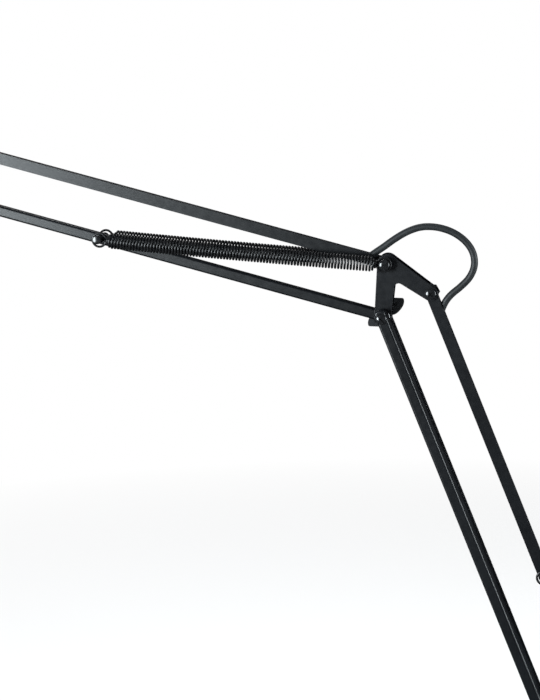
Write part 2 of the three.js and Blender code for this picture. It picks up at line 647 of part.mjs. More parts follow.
const capBottom = capTop - capHeight;
const capBend = 5;
const capBore = leadRadius + 2.2;
add('socket_cap', 'blackPaint', spun(shadeAxis, [
  [capBore, capTop], [capRadius - capBend, capTop], [capRadius - 1.4, capTop - 1.4],
  [capRadius, capTop - capBend], [capRadius, capBottom], [capRadius - capWall, capBottom],
  [capRadius - capWall, capTop - capBend - 0.4], [capRadius - capBend - 0.4, capTop - capWall],
  [capBore, capTop - capWall], [capBore, capTop],
], 28));

// The shade: a straight neck over the cap, then a bell that opens to a rolled rim.
const bell = new THREE.CubicBezierCurve(
  new THREE.Vector2(shadeNeck, shadeTop - 9),
  new THREE.Vector2(shadeNeck + 9, shadeTop - 22),
  new THREE.Vector2(shadeRim - 10, shadeTop - 38),
  new THREE.Vector2(shadeRim - 2, shadeBottom + 6),
);
const shadeOut = [[shadeNeck, shadeTop], ...bell.getPoints(6).map((p) => [p.x, p.y]),
  [shadeRim, shadeBottom + 4], [shadeRim, shadeBottom + 1], [shadeRim - 1.4, shadeBottom]];
const rimThicker = 1.6; // the rolled rim against the rest of the wall
const shadeIn = shadeOut.slice(0, -1).map(([r, z], i) =>
  [r - shadeWall * (i > 5 ? rimThicker : 1), i ? z - 0.6 : z]);
add('shade', 'blackPaint', spun(shadeAxis, [...shadeOut, ...shadeIn.reverse(), shadeOut[0]], 36));

const holderTop = capTop - holderDrop;
const holderBottom = holderTop - holderHeight;
const nippleTop = capTop - capWall - 2 * gap;
const nippleRadius = 5;
const nippleBore = leadRadius + leadClearance;
const threadRadius = bulbNeck + 0.6;
const threadTop = holderBottom + 24;
add('lamp_holder', 'mouldedPlastic', spun(shadeAxis, [
  [nippleBore, nippleTop], [nippleRadius + 2, nippleTop], [nippleRadius, holderTop],
  [holderRadius - 2, holderTop], [holderRadius, holderTop - 2], [holderRadius, holderBottom],
  [threadRadius, holderBottom], [threadRadius, threadTop], [nippleBore, threadTop], [nippleBore, nippleTop],
], 24));

const bulbTop = threadTop - 1;
const glassTop = holderBottom - 1;
const globe = glassTop - bulbLength + bulbRadius;
const glassOut = [[bulbNeck - 4, bulbTop], [bulbNeck, bulbTop - 3], [bulbNeck, glassTop],
  [bulbNeck + 1.5, glassTop - 8], [bulbNeck + 6, glassTop - 24], [bulbRadius - 3, globe + 16]];
const globeSteps = 5;
const globeFrom = 12; // degrees above level
for (let i = 0; i <= globeSteps; i++) {
  const angle = THREE.MathUtils.degToRad(globeFrom - (i * (90 + globeFrom)) / globeSteps);
  const round = i === globeSteps ? 0 : bulbRadius * Math.cos(angle);
  glassOut.push([round, globe + bulbRadius * Math.sin(angle)]);
}
const glassIn = glassOut.slice(0, -1).map(([r, z]) => [r - glassWall, z]);
glassIn.push([0, globe - bulbRadius + glassWall]);
add('bulb', 'glass', spun(shadeAxis, [...glassOut, ...glassIn.reverse(), glassOut[0]], 20));

const knobHeight = capTop - 30;
const knobEnd = knobRadius * 0.9;
const knob = lathe([[0, 0], [3, 0], [3, 2], [knobRadius - 0.8, 2], [knobRadius, 3],
  [knobEnd, knobLength - 1], [knobEnd - 1, knobLength], [0, knobLength]], 20);
add('switch_knob', 'mouldedPlastic',
  knob.rotateZ(Math.PI / 2).translate(shadeAxis - capRadius - gap, 0, knobHeight));

// Mains lead: strain relief, the run along the table, the coil, its tie, the tail and the plug
const outlet = baseRadius + gap;
const sleeveStart = baseRadius - 4;
const reliefEnd = outlet + reliefLength;
const reliefFlange = leadRadius + 4;
add('cord_strain_relief', 'mouldedPlastic', turned(outletPlace, [
  [leadRadius + gap, sleeveStart], [sleeveRadius, sleeveStart], [sleeveRadius, outlet],
  [reliefFlange, outlet], [reliefFlange, outlet + 3], [reliefFlange - 1, outlet + 4],
  [leadRadius + 1.1, reliefEnd], [leadRadius + gap, reliefEnd], [leadRadius + gap, sleeveStart],
], 20));
const onTable = leadRadius + 0.2;
const cordRun = [
  [0, 118, cordHeight], [0, 132, cordHeight], [0, 146, cordHeight], [0, 158, 6.9], [-1.5, 167, 5.7],
  [-6, 176, 4.3], [-13, 183.6, onTable + 0.2], [-21.5, 190.4, onTable], [-28.8, 198, onTable],
  [-34.2, 206, onTable], [-36.9, 214.6, onTable], [-37.2, 222, onTable],
].map((p) => new THREE.Vector3(...p));
add('mains_cord', 'leadSheath', tube(cordRun, leadRadius, 14, 8));

const coilBottom = 1;
add('cord_coil', 'leadSheath', spun(coilPlace.x, [[coilInner, coilBottom], [coilOuter, coilBottom],
  [coilOuter, coilBottom + coilHeight], [coilInner, coilBottom + coilHeight], [coilInner, coilBottom]])
  .translate(0, coilPlace.y, 0));

const plugEnd = 196; // where the tail enters the plug
const plugMiddle = 62;
const plugThickness = 14;
const plugHeight = plugThickness / 2 + 0.2;
const tail = [
  [61.2, 226, onTable], [61.4, 219, onTable], [61.6, 212, 4.2], [61.9, 203, 6.8],
  [plugMiddle, plugEnd + 2 * gap, plugHeight],
].map((p) => new THREE.Vector3(...p));
add('cord_tail', 'leadSheath', tube(tail, leadRadius, 5, 8));

const plugLength = 36;
const plugWidth = 34;
const plugOutline = new THREE.Shape();
const plugSide = plugWidth / 2;
const plugShoulder = -22;
plugOutline.moveTo(-5.5, 0);
plugOutline.lineTo(-7, -10);
plugOutline.quadraticCurveTo(-plugSide, -15, -plugSide, plugShoulder);
plugOutline.lineTo(-plugSide + 3, -plugLength);
plugOutline.lineTo(plugSide - 3, -plugLength);
plugOutline.lineTo(plugSide, plugShoulder);
plugOutline.quadraticCurveTo(plugSide, -15, 7, -10);
plugOutline.lineTo(5.5, 0);
const pinRadius = 2;
const pinLength = 19;
const pinHalfPitch = 9.3;
const plugExtrusion = { depth: plugThickness, bevelEnabled: false, curveSegments: 4 };
const plugBody = new THREE.ExtrudeGeometry(plugOutline, plugExtrusion)
  .translate(plugMiddle, plugEnd, plugHeight - plugThickness / 2);
const pinMiddle = plugEnd - plugLength - pinLength / 2 + 0.5;
const plugPins = [-1, 1].map((side) => new THREE.CylinderGeometry(pinRadius, pinRadius, pinLength + 1, 10)
  .translate(plugMiddle + side * pinHalfPitch, pinMiddle, plugHeight));
add('mains_plug', 'mouldedPlastic', join(plugBody, ...plugPins));

const tieWidth = 9;
const tieShape = new THREE.Shape();
const tieX = (side) => coilPlace.x - (side < 0 ? coilOuter + 1.6 : coilInner - 2.2);
const tieTop = coilBottom + coilHeight + gap;
const tieBottom = coilBottom - gap;
const tieThickness = 0.6;
tieShape.moveTo(tieX(-1), tieBottom - tieThickness);
tieShape.lineTo(tieX(1), tieBottom - tieThickness);
tieShape.lineTo(tieX(1), tieTop + tieThickness);
tieShape.lineTo(tieX(-1), tieTop + tieThickness);
const tieHole = new THREE.Path();
const tieInset = 1.3;
tieHole.moveTo(tieX(-1) + tieInset, tieBottom);
tieHole.lineTo(tieX(-1) + tieInset, tieTop);
tieHole.lineTo(tieX(1) - tieInset, tieTop);
tieHole.lineTo(tieX(1) - tieInset, tieBottom);
tieShape.holes.push(tieHole);
const tieTurn = -2.2; // round the coil's axis
add('cord_tie', 'mouldedPlastic', slab(tieShape, -tieWidth / 2, tieWidth / 2)
  .translate(-coilPlace.x, 0, 0)
  .rotateZ(tieTurn)
  .translate(coilPlace.x, coilPlace.y, 0));

export default lamp;
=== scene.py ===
# Balanced-arm desk lamp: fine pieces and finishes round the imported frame. Everything is in metres.
import math

import bmesh
import bpy
from mathutils import Matrix, Vector


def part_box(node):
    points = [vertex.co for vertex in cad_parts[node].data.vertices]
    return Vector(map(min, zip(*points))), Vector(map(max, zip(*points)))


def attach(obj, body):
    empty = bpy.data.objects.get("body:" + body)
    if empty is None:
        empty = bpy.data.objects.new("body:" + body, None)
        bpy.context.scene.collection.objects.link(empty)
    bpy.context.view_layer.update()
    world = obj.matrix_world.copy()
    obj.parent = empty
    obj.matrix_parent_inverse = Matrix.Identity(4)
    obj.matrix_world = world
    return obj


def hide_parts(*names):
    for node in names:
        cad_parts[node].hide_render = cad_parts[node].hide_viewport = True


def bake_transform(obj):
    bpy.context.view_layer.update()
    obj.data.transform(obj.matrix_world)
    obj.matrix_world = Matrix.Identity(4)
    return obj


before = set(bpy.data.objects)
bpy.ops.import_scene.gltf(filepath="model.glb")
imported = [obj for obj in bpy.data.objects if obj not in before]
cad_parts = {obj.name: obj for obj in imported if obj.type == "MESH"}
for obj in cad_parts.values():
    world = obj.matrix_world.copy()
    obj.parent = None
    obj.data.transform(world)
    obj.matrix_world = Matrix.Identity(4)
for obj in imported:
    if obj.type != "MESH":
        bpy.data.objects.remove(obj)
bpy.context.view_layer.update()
print("frame loaded")


def middle(node):
    low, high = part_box(node)
    return (low + high) / 2


def pivot(node):
    place = middle(node)
    place.y = 0  # pivots lie across the lamp's middle plane
    return place


baseLeft = pivot("base_left_bolt")
baseRight = pivot("base_right_bolt")
basePost = pivot("base_spring_post")
elbowTop = pivot("elbow_top_bolt")
elbowRight = pivot("elbow_right_bolt")
elbowBottom = pivot("elbow_bottom_bolt")
headTop = pivot("head_top_bolt")
headBottom = pivot("head_bottom_bolt")
headTilt = pivot("head_tilt_bolt")
upperPin = pivot("upper_spring_pin")
lowerPin = pivot("lower_spring_pin")
shadeAxis = middle("shade").x
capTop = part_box("socket_cap")[1].z
leadRadius = 0.0032

cameraSetup = {"place": (0.0, -1.791, 0.753), "looksAt": (-0.2907, 0.0, 0.4361), "lens": 102.86}


def makeCamera():
    data = bpy.data.cameras.new("camera")
    data.lens = cameraSetup["lens"]
    data.sensor_width = 36
    data.clip_start = 0.01
    camera = bpy.data.objects.new("camera", data)
    camera.location = cameraSetup["place"]
    look = Vector(cameraSetup["looksAt"]) - camera.location
    camera.rotation_euler = look.to_track_quat("-Z", "Y").to_euler()
    bpy.context.scene.collection.objects.link(camera)
    bpy.context.scene.camera = camera


makeCamera()


# finishes: colour and roughness wander a little over each surface
def newMaterial(name, color, roughness, metallic=0.0, **inputs):
    made = bpy.data.materials.new(name)
    made.use_nodes = True
    shader = made.node_tree.nodes["Principled BSDF"]
    shader.inputs["Base Color"].default_value = (*color, 1)
    shader.inputs["Roughness"].default_value = roughness
    shader.inputs["Metallic"].default_value = metallic
    for key, value in inputs.items():
        shader.inputs[key.replace("_", " ")].default_value = value
    return made, made.node_tree, shader


def addNoise(tree, scale, detail=3.0, roughness=0.5, stretch=None):
    place = tree.nodes.new("ShaderNodeTexCoord")
    noise = tree.nodes.new("ShaderNodeTexNoise")
    noise.inputs["Scale"].default_value = scale
    noise.inputs["Detail"].default_value = detail
    noise.inputs["Roughness"].default_value = roughness
    source = place.outputs["Object"]
    if stretch:
        mapping = tree.nodes.new("ShaderNodeMapping")
        mapping.inputs["Scale"].default_value = stretch
        tree.links.new(source, mapping.inputs["Vector"])
        source = mapping.outputs["Vector"]
    tree.links.new(source, noise.inputs["Vector"])
    return noise.outputs["Fac"]


def spread(tree, source, low, high, outLow, outHigh):
    node = tree.nodes.new("ShaderNodeMapRange")
    for key, value in zip(("From Min", "From Max", "To Min", "To Max"), (low, high, outLow, outHigh)):
        node.inputs[key].default_value = value
    tree.links.new(source, node.inputs["Value"])
    return node.outputs["Result"]


def tint(tree, fac, colorA, colorB):
    node = tree.nodes.new("ShaderNodeMix")
    node.data_type = "RGBA"
    node.inputs["A"].default_value = (*colorA, 1)
    node.inputs["B"].default_value = (*colorB, 1)
    tree.links.new(fac, node.inputs["Factor"])
    return node.outputs["Result"]


def mottle(tree, shader, noise, colorA, colorB, low=0.35, high=0.7):
    fac = spread(tree, noise, low, high, 0, 1)
    tree.links.new(tint(tree, fac, colorA, colorB), shader.inputs["Base Color"])


def roughen(tree, shader, noise, smoothest, roughest):
    tree.links.new(spread(tree, noise, 0.3, 0.7, smoothest, roughest), shader.inputs["Roughness"])


def paler(color, times, plus=0.0):
    return tuple(c * times + plus for c in color)


def addBumps(tree, shader, *layers):
    # each layer is (height, strength, distance)
    before = None
    for height, strength, distance in layers:
        bump = tree.nodes.new("ShaderNodeBump")
        bump.inputs["Strength"].default_value = strength
        bump.inputs["Distance"].default_value = distance
        tree.links.new(height, bump.inputs["Height"])
        if before:
            tree.links.new(before, bump.inputs["Normal"])
        before = bump.outputs["Normal"]
    tree.links.new(before, shader.inputs["Normal"])


def upward(tree):
    # 1 where the surface looks up, for settled dust
    geometry = tree.nodes.new("ShaderNodeNewGeometry")
    split = tree.nodes.new("ShaderNodeSeparateXYZ")
    tree.links.new(geometry.outputs["Normal"], split.inputs["Vector"])
    return spread(tree, split.outputs["Z"], 0.75, 1.0, 0.0, 1.0)


def multiply(tree, a, b):
    node = tree.nodes.new("ShaderNodeMath")
    node.operation = "MULTIPLY"
    tree.links.new(a, node.inputs[0])
    tree.links.new(b, node.inputs[1])
    return node.outputs["Value"]


def satinPaint(name, color, dusty=0.05, peel=0.035):
    made, tree, shader = newMaterial(name, color, 0.4, Specular_IOR_Level=0.55)
    cloud = spread(tree, addNoise(tree, 14, 4), 0.35, 0.7, 0, 1)
    base = tint(tree, cloud, color, paler(color, 1.6, 0.001))
    patches = spread(tree, addNoise(tree, 60, 6, 0.7), 0.4, 0.75, 0, dusty)
    mixed = tree.nodes.new("ShaderNodeMix")
    mixed.data_type = "RGBA"
    tree.links.new(multiply(tree, upward(tree), patches), mixed.inputs["Factor"])
    tree.links.new(base, mixed.inputs["A"])
    mixed.inputs["B"].default_value = (*finishColors["dust"], 1)
    tree.links.new(mixed.outputs["Result"], shader.inputs["Base Color"])
    roughen(tree, shader, addNoise(tree, 160, 5, 0.65), 0.29, 0.37)
    addBumps(tree, shader, (addNoise(tree, 900, 2), peel, 0.0003),  # orange peel
             (addNoise(tree, 4200, 1), peel * 0.5, 0.0001))  # fine grain
    return made


def glossyHardware(name, color, roughness):
    made, tree, shader = newMaterial(name, color, roughness, Specular_IOR_Level=0.6, Coat_Weight=0.3,
                                     Coat_Roughness=0.1)
    mottle(tree, shader, addNoise(tree, 320, 6, 0.7), color, paler(color, 2.4, 0.004), 0.5, 0.85)  # wear
    roughen(tree, shader, addNoise(tree, 700, 4), roughness - 0.05, roughness + 0.08)
    addBumps(tree, shader, (addNoise(tree, 900, 2), 0.04, 0.0002))
    return made


def drawnWire(name, color):
    made, tree, shader = newMaterial(name, color, 0.26, Specular_IOR_Level=0.5)
    mottle(tree, shader, addNoise(tree, 240, 5, 0.7), color, finishColors["wireScuff"], 0.45, 0.8)
    roughen(tree, shader, addNoise(tree, 900, 3), 0.22, 0.32)
    return made


def leadSheath(name, color):
    made, tree, shader = newMaterial(name, color, 0.5, Specular_IOR_Level=0.45)
    mottle(tree, shader, addNoise(tree, 45, 4, 0.6), color, paler(color, 1.35))
    roughen(tree, shader, addNoise(tree, 420, 4), 0.42, 0.6)
    addBumps(tree, shader, (addNoise(tree, 110, 2), 0.12, 0.0006), (addNoise(tree, 2400, 2), 0.1, 0.0001))
    return made


def mouldedPlastic(name, color, roughness=0.45):
    made, tree, shader = newMaterial(name, color, roughness)
    roughen(tree, shader, addNoise(tree, 500, 4), roughness - 0.06, roughness + 0.1)
    mottle(tree, shader, addNoise(tree, 30, 3), color, paler(color, 1.4))
    addBumps(tree, shader, (addNoise(tree, 2600, 2), 0.22, 0.0001))
    return made


def whiteEnamel(name, color):
    made, tree, shader = newMaterial(name, color, 0.35, Coat_Weight=0.2)
    mottle(tree, shader, addNoise(tree, 22, 4), color, finishColors["oldEnamel"], 0.35, 0.75)
    addBumps(tree, shader, (addNoise(tree, 700, 2), 0.1, 0.0002))
    return made


def castIron(name, color):
    made, tree, shader = newMaterial(name, color, 0.8, 0.3)
    addBumps(tree, shader, (addNoise(tree, 900, 6, 0.7), 0.6, 0.0006))
    roughen(tree, shader, addNoise(tree, 300, 5), 0.65, 0.9)
    return made


def pressedFelt(name, color):
    made, tree, shader = newMaterial(name, color, 0.95, Sheen_Weight=0.4, Sheen_Roughness=0.5)
    fibre = addNoise(tree, 1600, 6, 0.8, stretch=(1, 1, 2.5))
    mottle(tree, shader, fibre, color, finishColors["feltFibre"])
    addBumps(tree, shader, (fibre, 0.7, 0.0006))
    return made


def plainMetal(name, color, roughness):
    made, tree, shader = newMaterial(name, color, roughness, 1.0)
    roughen(tree, shader, addNoise(tree, 600, 4, stretch=(1, 12, 1)), roughness - 0.05, roughness + 0.12)
    addBumps(tree, shader, (addNoise(tree, 1400, 2), 0.05, 0.0001))
    return made


def opalGlass(name, color):
    made, tree, shader = newMaterial(name, color, 0.16, Subsurface_Weight=0.25, Subsurface_Scale=0.01,
                                     Coat_Weight=0.3)
    roughen(tree, shader, addNoise(tree, 90, 3), 0.12, 0.22)
    return made


def wovenStrap(name, color):
    made, tree, shader = newMaterial(name, color, 0.85, Sheen_Weight=0.3)
    loops = addNoise(tree, 1500, 4, 0.8)
    mottle(tree, shader, loops, color, finishColors["strapLoop"])
    addBumps(tree, shader, (loops, 0.8, 0.0006))
    return made


finishColors = {
    "paint": (0.0036, 0.0043, 0.0056), "dust": (0.07, 0.068, 0.064), "hardware": (0.010, 0.0105, 0.0115),
    "wingNut": (0.016, 0.0175, 0.0195), "wire": (0.007, 0.0075, 0.0085), "wireScuff": (0.024, 0.024, 0.025),
    "sheath": (0.0135, 0.0155, 0.0170), "plastic": (0.016, 0.017, 0.018), "enamel": (0.83, 0.825, 0.80),
    "oldEnamel": (0.76, 0.75, 0.71), "iron": (0.05, 0.05, 0.055), "felt": (0.014, 0.015, 0.018),
    "feltFibre": (0.05, 0.052, 0.058), "nickel": (0.62, 0.6, 0.57), "brass": (0.55, 0.4, 0.18),
    "opal": (0.93, 0.925, 0.9), "strap": (0.012, 0.012, 0.014), "strapLoop": (0.05, 0.05, 0.054),
}
blackPaint = satinPaint("satin black paint", finishColors["paint"])
blackHardware = glossyHardware("blackened hardware", finishColors["hardware"], 0.16)
wingFinish = satinPaint("stoved wing nut", finishColors["wingNut"], 0.02, 0.08)
springSteel = drawnWire("blackened spring wire", finishColors["wire"])
sheath = leadSheath("lead sheath", finishColors["sheath"])
blackPlastic = mouldedPlastic("black moulded plastic", finishColors["plastic"])
enamel = whiteEnamel("white enamel", finishColors["enamel"])
iron = castIron("cast iron", finishColors["iron"])
felt = pressedFelt("pressed felt", finishColors["felt"])
nickel = plainMetal("nickel plate", finishColors["nickel"], 0.22)
brass = plainMetal("dull brass", finishColors["brass"], 0.35)
opal = opalGlass("opal glass", finishColors["opal"])
strap = wovenStrap("hook and loop strap", finishColors["strap"])
print("finishes made")


# ways of making a mesh, cutting it and giving it to a body
def finishMesh(name, mesh, material, sharp=32):
    tool = bmesh.new()
    tool.from_mesh(mesh)
    bmesh.ops.recalc_face_normals(tool, faces=tool.faces)
    tool.to_mesh(mesh)
    tool.free()
    mesh.materials.append(material)
    mesh.polygons.foreach_set("use_smooth", [True] * len(mesh.polygons))
    mesh.set_sharp_from_angle(angle=math.radians(sharp))
    piece = bpy.data.objects.new(name, mesh)
    bpy.context.scene.collection.objects.link(piece)
    return piece


def meshFrom(name, points, faces, material, sharp=32):
    mesh = bpy.data.meshes.new(name)
    mesh.from_pydata([tuple(p) for p in points], [], faces)
    return finishMesh(name, mesh, material, sharp)


def slab(name, front, rear, material):
    # a solid between two matching rings of points
    count = len(front)
    faces = [tuple(range(count)), tuple(range(count, 2 * count))]
    faces += [(i, (i + 1) % count, count + (i + 1) % count, count + i) for i in range(count)]
    return meshFrom(name, front + rear, faces, material)


def prism(name, outline, yFront, yRear, material):
    # a flat outline of (x, z), given thickness in y
    front, rear = ([(x, y, z) for x, z in outline] for y in (yFront, yRear))
    return slab(name, front, rear, material)


def lathe(name, profile, place, along, material, segments=64, closed=False, radiusAt=None, sharp=32):
    # profile is (radius, distance along the axis); it starts and ends on the axis, or is closed on itself
    axis = Vector(along).normalized()
    side = axis.orthogonal().normalized()
    other = axis.cross(side)
    points, rows = [], []
    for radius, height in profile:
        if radius < 1e-7:
            rows.append([len(points)])
            points.append(Vector(place) + axis * height)
            continue
        row = []
        for i in range(segments):
            angle = 2 * math.pi * i / segments
            grown = radius * (radiusAt(angle, height) if radiusAt else 1)
            row.append(len(points))
            points.append(Vector(place) + axis * height + side * grown * math.cos(angle)
                          + other * grown * math.sin(angle))
        rows.append(row)
    faces = []
    pairs = list(zip(rows, rows[1:])) + ([(rows[-1], rows[0])] if closed else [])
    for a, b in pairs:
        for i in range(segments):
            j = (i + 1) % segments
            if len(a) == 1 and len(b) == 1:
                continue
            if len(a) == 1:
                faces.append((a[0], b[i], b[j]))
            elif len(b) == 1:
                faces.append((a[i], b[0], a[j]))
            else:
                faces.append((a[i], b[i], b[j], a[j]))
    return meshFrom(name, points, faces, material, sharp)


def smoothPath(points, steps=8):
    # a Catmull-Rom line through the points
    ends = [points[0] * 2 - points[1], *points, points[-1] * 2 - points[-2]]
    line = []
    for a, b, c, d in zip(ends, ends[1:], ends[2:], ends[3:]):
        for k in range(steps):
            t = k / steps
            line.append(0.5 * (2 * b + (c - a) * t + (2 * a - 5 * b + 4 * c - d) * t * t
                               + (3 * b - a - 3 * c + d) * t ** 3))
    return line + [points[-1].copy()]


def sweep(name, line, radius, material, sides=16, capped=True):
    # a round rod along a line, with a section that doesn't twist
    points, faces, normal = [], [], None
    for i, point in enumerate(line):
        ahead = line[min(i + 1, len(line) - 1)] - line[max(i - 1, 0)]
        ahead.normalize()
        normal = ahead.orthogonal() if normal is None else normal - ahead * normal.dot(ahead)
        normal.normalize()
        across = ahead.cross(normal)
        for k in range(sides):
            angle = 2 * math.pi * k / sides
            points.append(point + (normal * math.cos(angle) + across * math.sin(angle)) * radius)
    for i in range(len(line) - 1):
        for k in range(sides):
            a, b = i * sides + k, i * sides + (k + 1) % sides
            faces.append((a, b, b + sides, a + sides))
    if capped:
        faces.append(tuple(range(sides)))
        faces.append(tuple(range((len(line) - 1) * sides, len(line) * sides)))
    return meshFrom(name, points, faces, material, 50)


def bake(piece):
    # the mesh with its modifiers applied
    graph = bpy.context.evaluated_depsgraph_get()
    mesh = bpy.data.meshes.new_from_object(piece.evaluated_get(graph))
    piece.modifiers.clear()
    piece.data = mesh
    return piece


def combine(piece, operation, *tools):
    for tool in tools:
        step = piece.modifiers.new(operation, "BOOLEAN")
        step.operation = operation
        step.solver = "EXACT"
        step.object = tool
        bpy.context.view_layer.update()
        bake(piece)
        bpy.data.objects.remove(tool)
    piece.data.set_sharp_from_angle(angle=math.radians(32))
    return piece


def carve(piece, *tools):
    return combine(piece, "DIFFERENCE", *tools)


def fuse(piece, *tools):
    return combine(piece, "UNION", *tools)


def soften(piece, width, segments=3, limit=32):
    bevel = piece.modifiers.new("edges", "BEVEL")
    bevel.width = width
    bevel.segments = segments
    bevel.limit_method = "ANGLE"
    bevel.angle_limit = math.radians(limit)
    bevel.harden_normals = True
    return piece


def settle(piece, body, slot, *nodes):
    if body:
        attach(piece, body)
    if nodes:
        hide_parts(*nodes)
    return piece


def refinish(node, material):
    # a part that keeps its own shape gets a finish
    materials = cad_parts[node].data.materials
    materials.clear()
    materials.append(material)


def boxTool(place, size, turn=0.0):
    # a plain cutter, turned about y
    points = [Vector((x * size[0] / 2, y * size[1] / 2, z * size[2] / 2))
              for x in (-1, 1) for y in (-1, 1) for z in (-1, 1)]
    spin = Matrix.Rotation(turn, 3, "Y")
    points = [Vector(place) + spin @ p for p in points]
    faces = [(0, 1, 3, 2), (4, 6, 7, 5), (0, 4, 5, 1), (2, 3, 7, 6), (0, 2, 6, 4), (1, 5, 7, 3)]
    return meshFrom("cutter", points, faces, blackPaint)


def rodTool(place, radius, y0, y1):
    profile = [(0, y0), (radius, y0), (radius, y1), (0, y1)]
    return lathe("cutter", profile, (place.x, 0, place.z), (0, 1, 0), blackPaint, 40)


def arcPoints(centre, radius, start, end, clockwise=False, steps=8):
    # from start to end, both in radians
    turn = (end - start) % (2 * math.pi)
    if clockwise:
        turn = -((start - end) % (2 * math.pi))
    return [(centre[0] + radius * math.cos(start + turn * i / steps),
             centre[1] + radius * math.sin(start + turn * i / steps)) for i in range(steps + 1)]


def roundEdge(centre, radius, start, end, step):
    # points every so many degrees, for the edge of a turned shape
    return [(centre[0] + radius * math.cos(math.radians(a)), centre[1] + radius * math.sin(math.radians(a)))
            for a in range(start, end, step)]


# out of the base, down to the table and round to the coil, in millimetres apart from the length
mainsLead = {
    "run": [(0, 118, 7.4), (0, 132, 7.4), (0, 146, 7.4), (0, 158, 6.9), (-1.5, 167, 5.7), (-6, 176, 4.3),
            (-13, 183.6, 3.6), (-21.5, 190.4, 3.5), (-28.8, 198, 3.6), (-34.2, 206, 3.8), (-36.9, 214.6, 4.0),
            (-37.2, 222, 4.1)],
    "tail": [(61.2, 226, 4.4), (61.4, 219, 3.9), (61.6, 212, 4.4), (61.9, 203, 6.8), (62, 197.5, 7.2)],
    "columns": (28.8, 35.3, 41.8),  # from the coil's middle
    "outside": 49.2,
    "layers": (4.1, 10.6, 17.1),
    "leaving": 4.4,  # height where the last turn comes down
    "turns": 5.5,
    "perTurn": 24,
    "length": 1.44,  # metres
}


def eased(x):
    x = min(1.0, max(0.0, x))
    return x * x * (3 - 2 * x)


def coilPoint(turns, centre):
    # from the left, clockwise seen from above; inward on the table, outward on the next layer
    inner, mid, outer = mainsLead["columns"]
    low, second, top = mainsLead["layers"]
    radiusMoves = [(0.0, 0.3, outer), (1.0, 1.3, mid), (2.0, 2.3, inner), (3.0, 3.4, mid), (4.0, 4.4, outer),
                   (5.05, 5.5, mainsLead["outside"])]
    heightMoves = [(2.4, 2.7, second), (4.5, 4.8, top), (5.22, 5.5, mainsLead["leaving"])]
    radius, height = mainsLead["outside"], low
    for start, end, target in radiusMoves:
        radius += (target - radius) * eased((turns - start) / (end - start))
    for start, end, target in heightMoves:
        height += (target - height) * eased((turns - start) / (end - start))
    angle = math.pi - turns * 2 * math.pi
    return Vector((centre[0] + radius * math.cos(angle), centre[1] + radius * math.sin(angle), height))


def makeMainsLead():
    centre = middle("cord_coil") * 1000
    route = [Vector(p) for p in mainsLead["run"]]
    perTurn = mainsLead["perTurn"]
    route += [coilPoint(i / perTurn, centre) for i in range(1, int(mainsLead["turns"] * perTurn))]
    route += [Vector(p) for p in mainsLead["tail"]]
    line = smoothPath([p / 1000 for p in route], 3)
    data = bpy.data.curves.new("mainsLead", "CURVE")
    data.dimensions = "3D"
    data.bevel_depth = leadRadius
    data.bevel_resolution = 5
    data.use_fill_caps = True
    spline = data.splines.new("POLY")
    spline.points.add(len(line) - 1)
    for target, point in zip(spline.points, line):
        target.co = (*point, 1)
    data.materials.append(sheath)
    cord = bpy.data.objects.new("mainsLead", data)
    bpy.context.scene.collection.objects.link(cord)
    measured = sum((b - a).length for a, b in zip(line, line[1:]))
    print("mains lead measures", round(measured, 3))
    return cord


plugSetup = {"bodyLength": 0.036, "thickness": 0.014, "width": 0.034, "neck": 0.0055, "edge": 0.0016,
             "pinRadius": 0.002, "pinSleeve": 0.010, "pinOffset": 0.0093, "grooves": 4, "grooveStep": 0.0035}


def makePlug():
    low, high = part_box("mains_plug")
    x, top, thick = (low.x + high.x) / 2, high.y, plugSetup["thickness"]
    height = thick / 2 + 0.0002
    half, long = plugSetup["width"] / 2, plugSetup["bodyLength"]
    side = []
    for step in range(9):  # from the neck round the shoulder
        t = step / 8
        side.append(((1 - t) ** 2 * 0.007 + 2 * (1 - t) * t * half + t * t * half,
                     (1 - t) ** 2 * -0.010 + 2 * (1 - t) * t * -0.015 + t * t * -0.022))
    right = [(plugSetup["neck"], 0.0), *side, (half - 0.003, -long)]
    outline = right + [(-a, b) for a, b in reversed(right)]
    faces = (height - thick / 2, height + thick / 2)
    body = slab("plugBody", *([(x + a, top + b, z) for a, b in outline] for z in faces), blackPlastic)
    for row in range(plugSetup["grooves"]):  # finger grooves on both faces
        y = top - 0.0165 - row * plugSetup["grooveStep"]
        for z in faces:
            carve(body, boxTool((x, y, z), (0.020, 0.0013, 0.0014)))
    soften(body, plugSetup["edge"], 4, 35)
    pins = []
    radius, sleeve = plugSetup["pinRadius"], plugSetup["pinSleeve"]
    end = top - long + 0.001
    reach = end - low.y
    for way, side in ((-1, "Left"), (1, "Right")):
        place = (x + way * plugSetup["pinOffset"], end, height)
        pins.append(lathe("plugPinSleeve" + side, [(0, 0), (radius, 0), (radius, sleeve), (0, sleeve)], place,
                          (0, -1, 0), blackPlastic, 32))
        tip = [(0, sleeve), (radius, sleeve), (radius, reach - 0.0015), (radius * 0.75, reach - 0.0004),
               (radius * 0.35, reach), (0, reach)]
        pins.append(lathe("plugPin" + side, tip, place, (0, -1, 0), nickel, 32, sharp=60))
    settle(body, "base", "moulded_plastic", "mains_plug")
    for pin in pins:
        settle(pin, "base", "moulded_plastic")
    return [body, *pins]


reliefSetup = {"rings": 6, "ringDepth": 0.0007, "thick": 0.0029, "thinner": 0.0020, "flange": 0.0039}


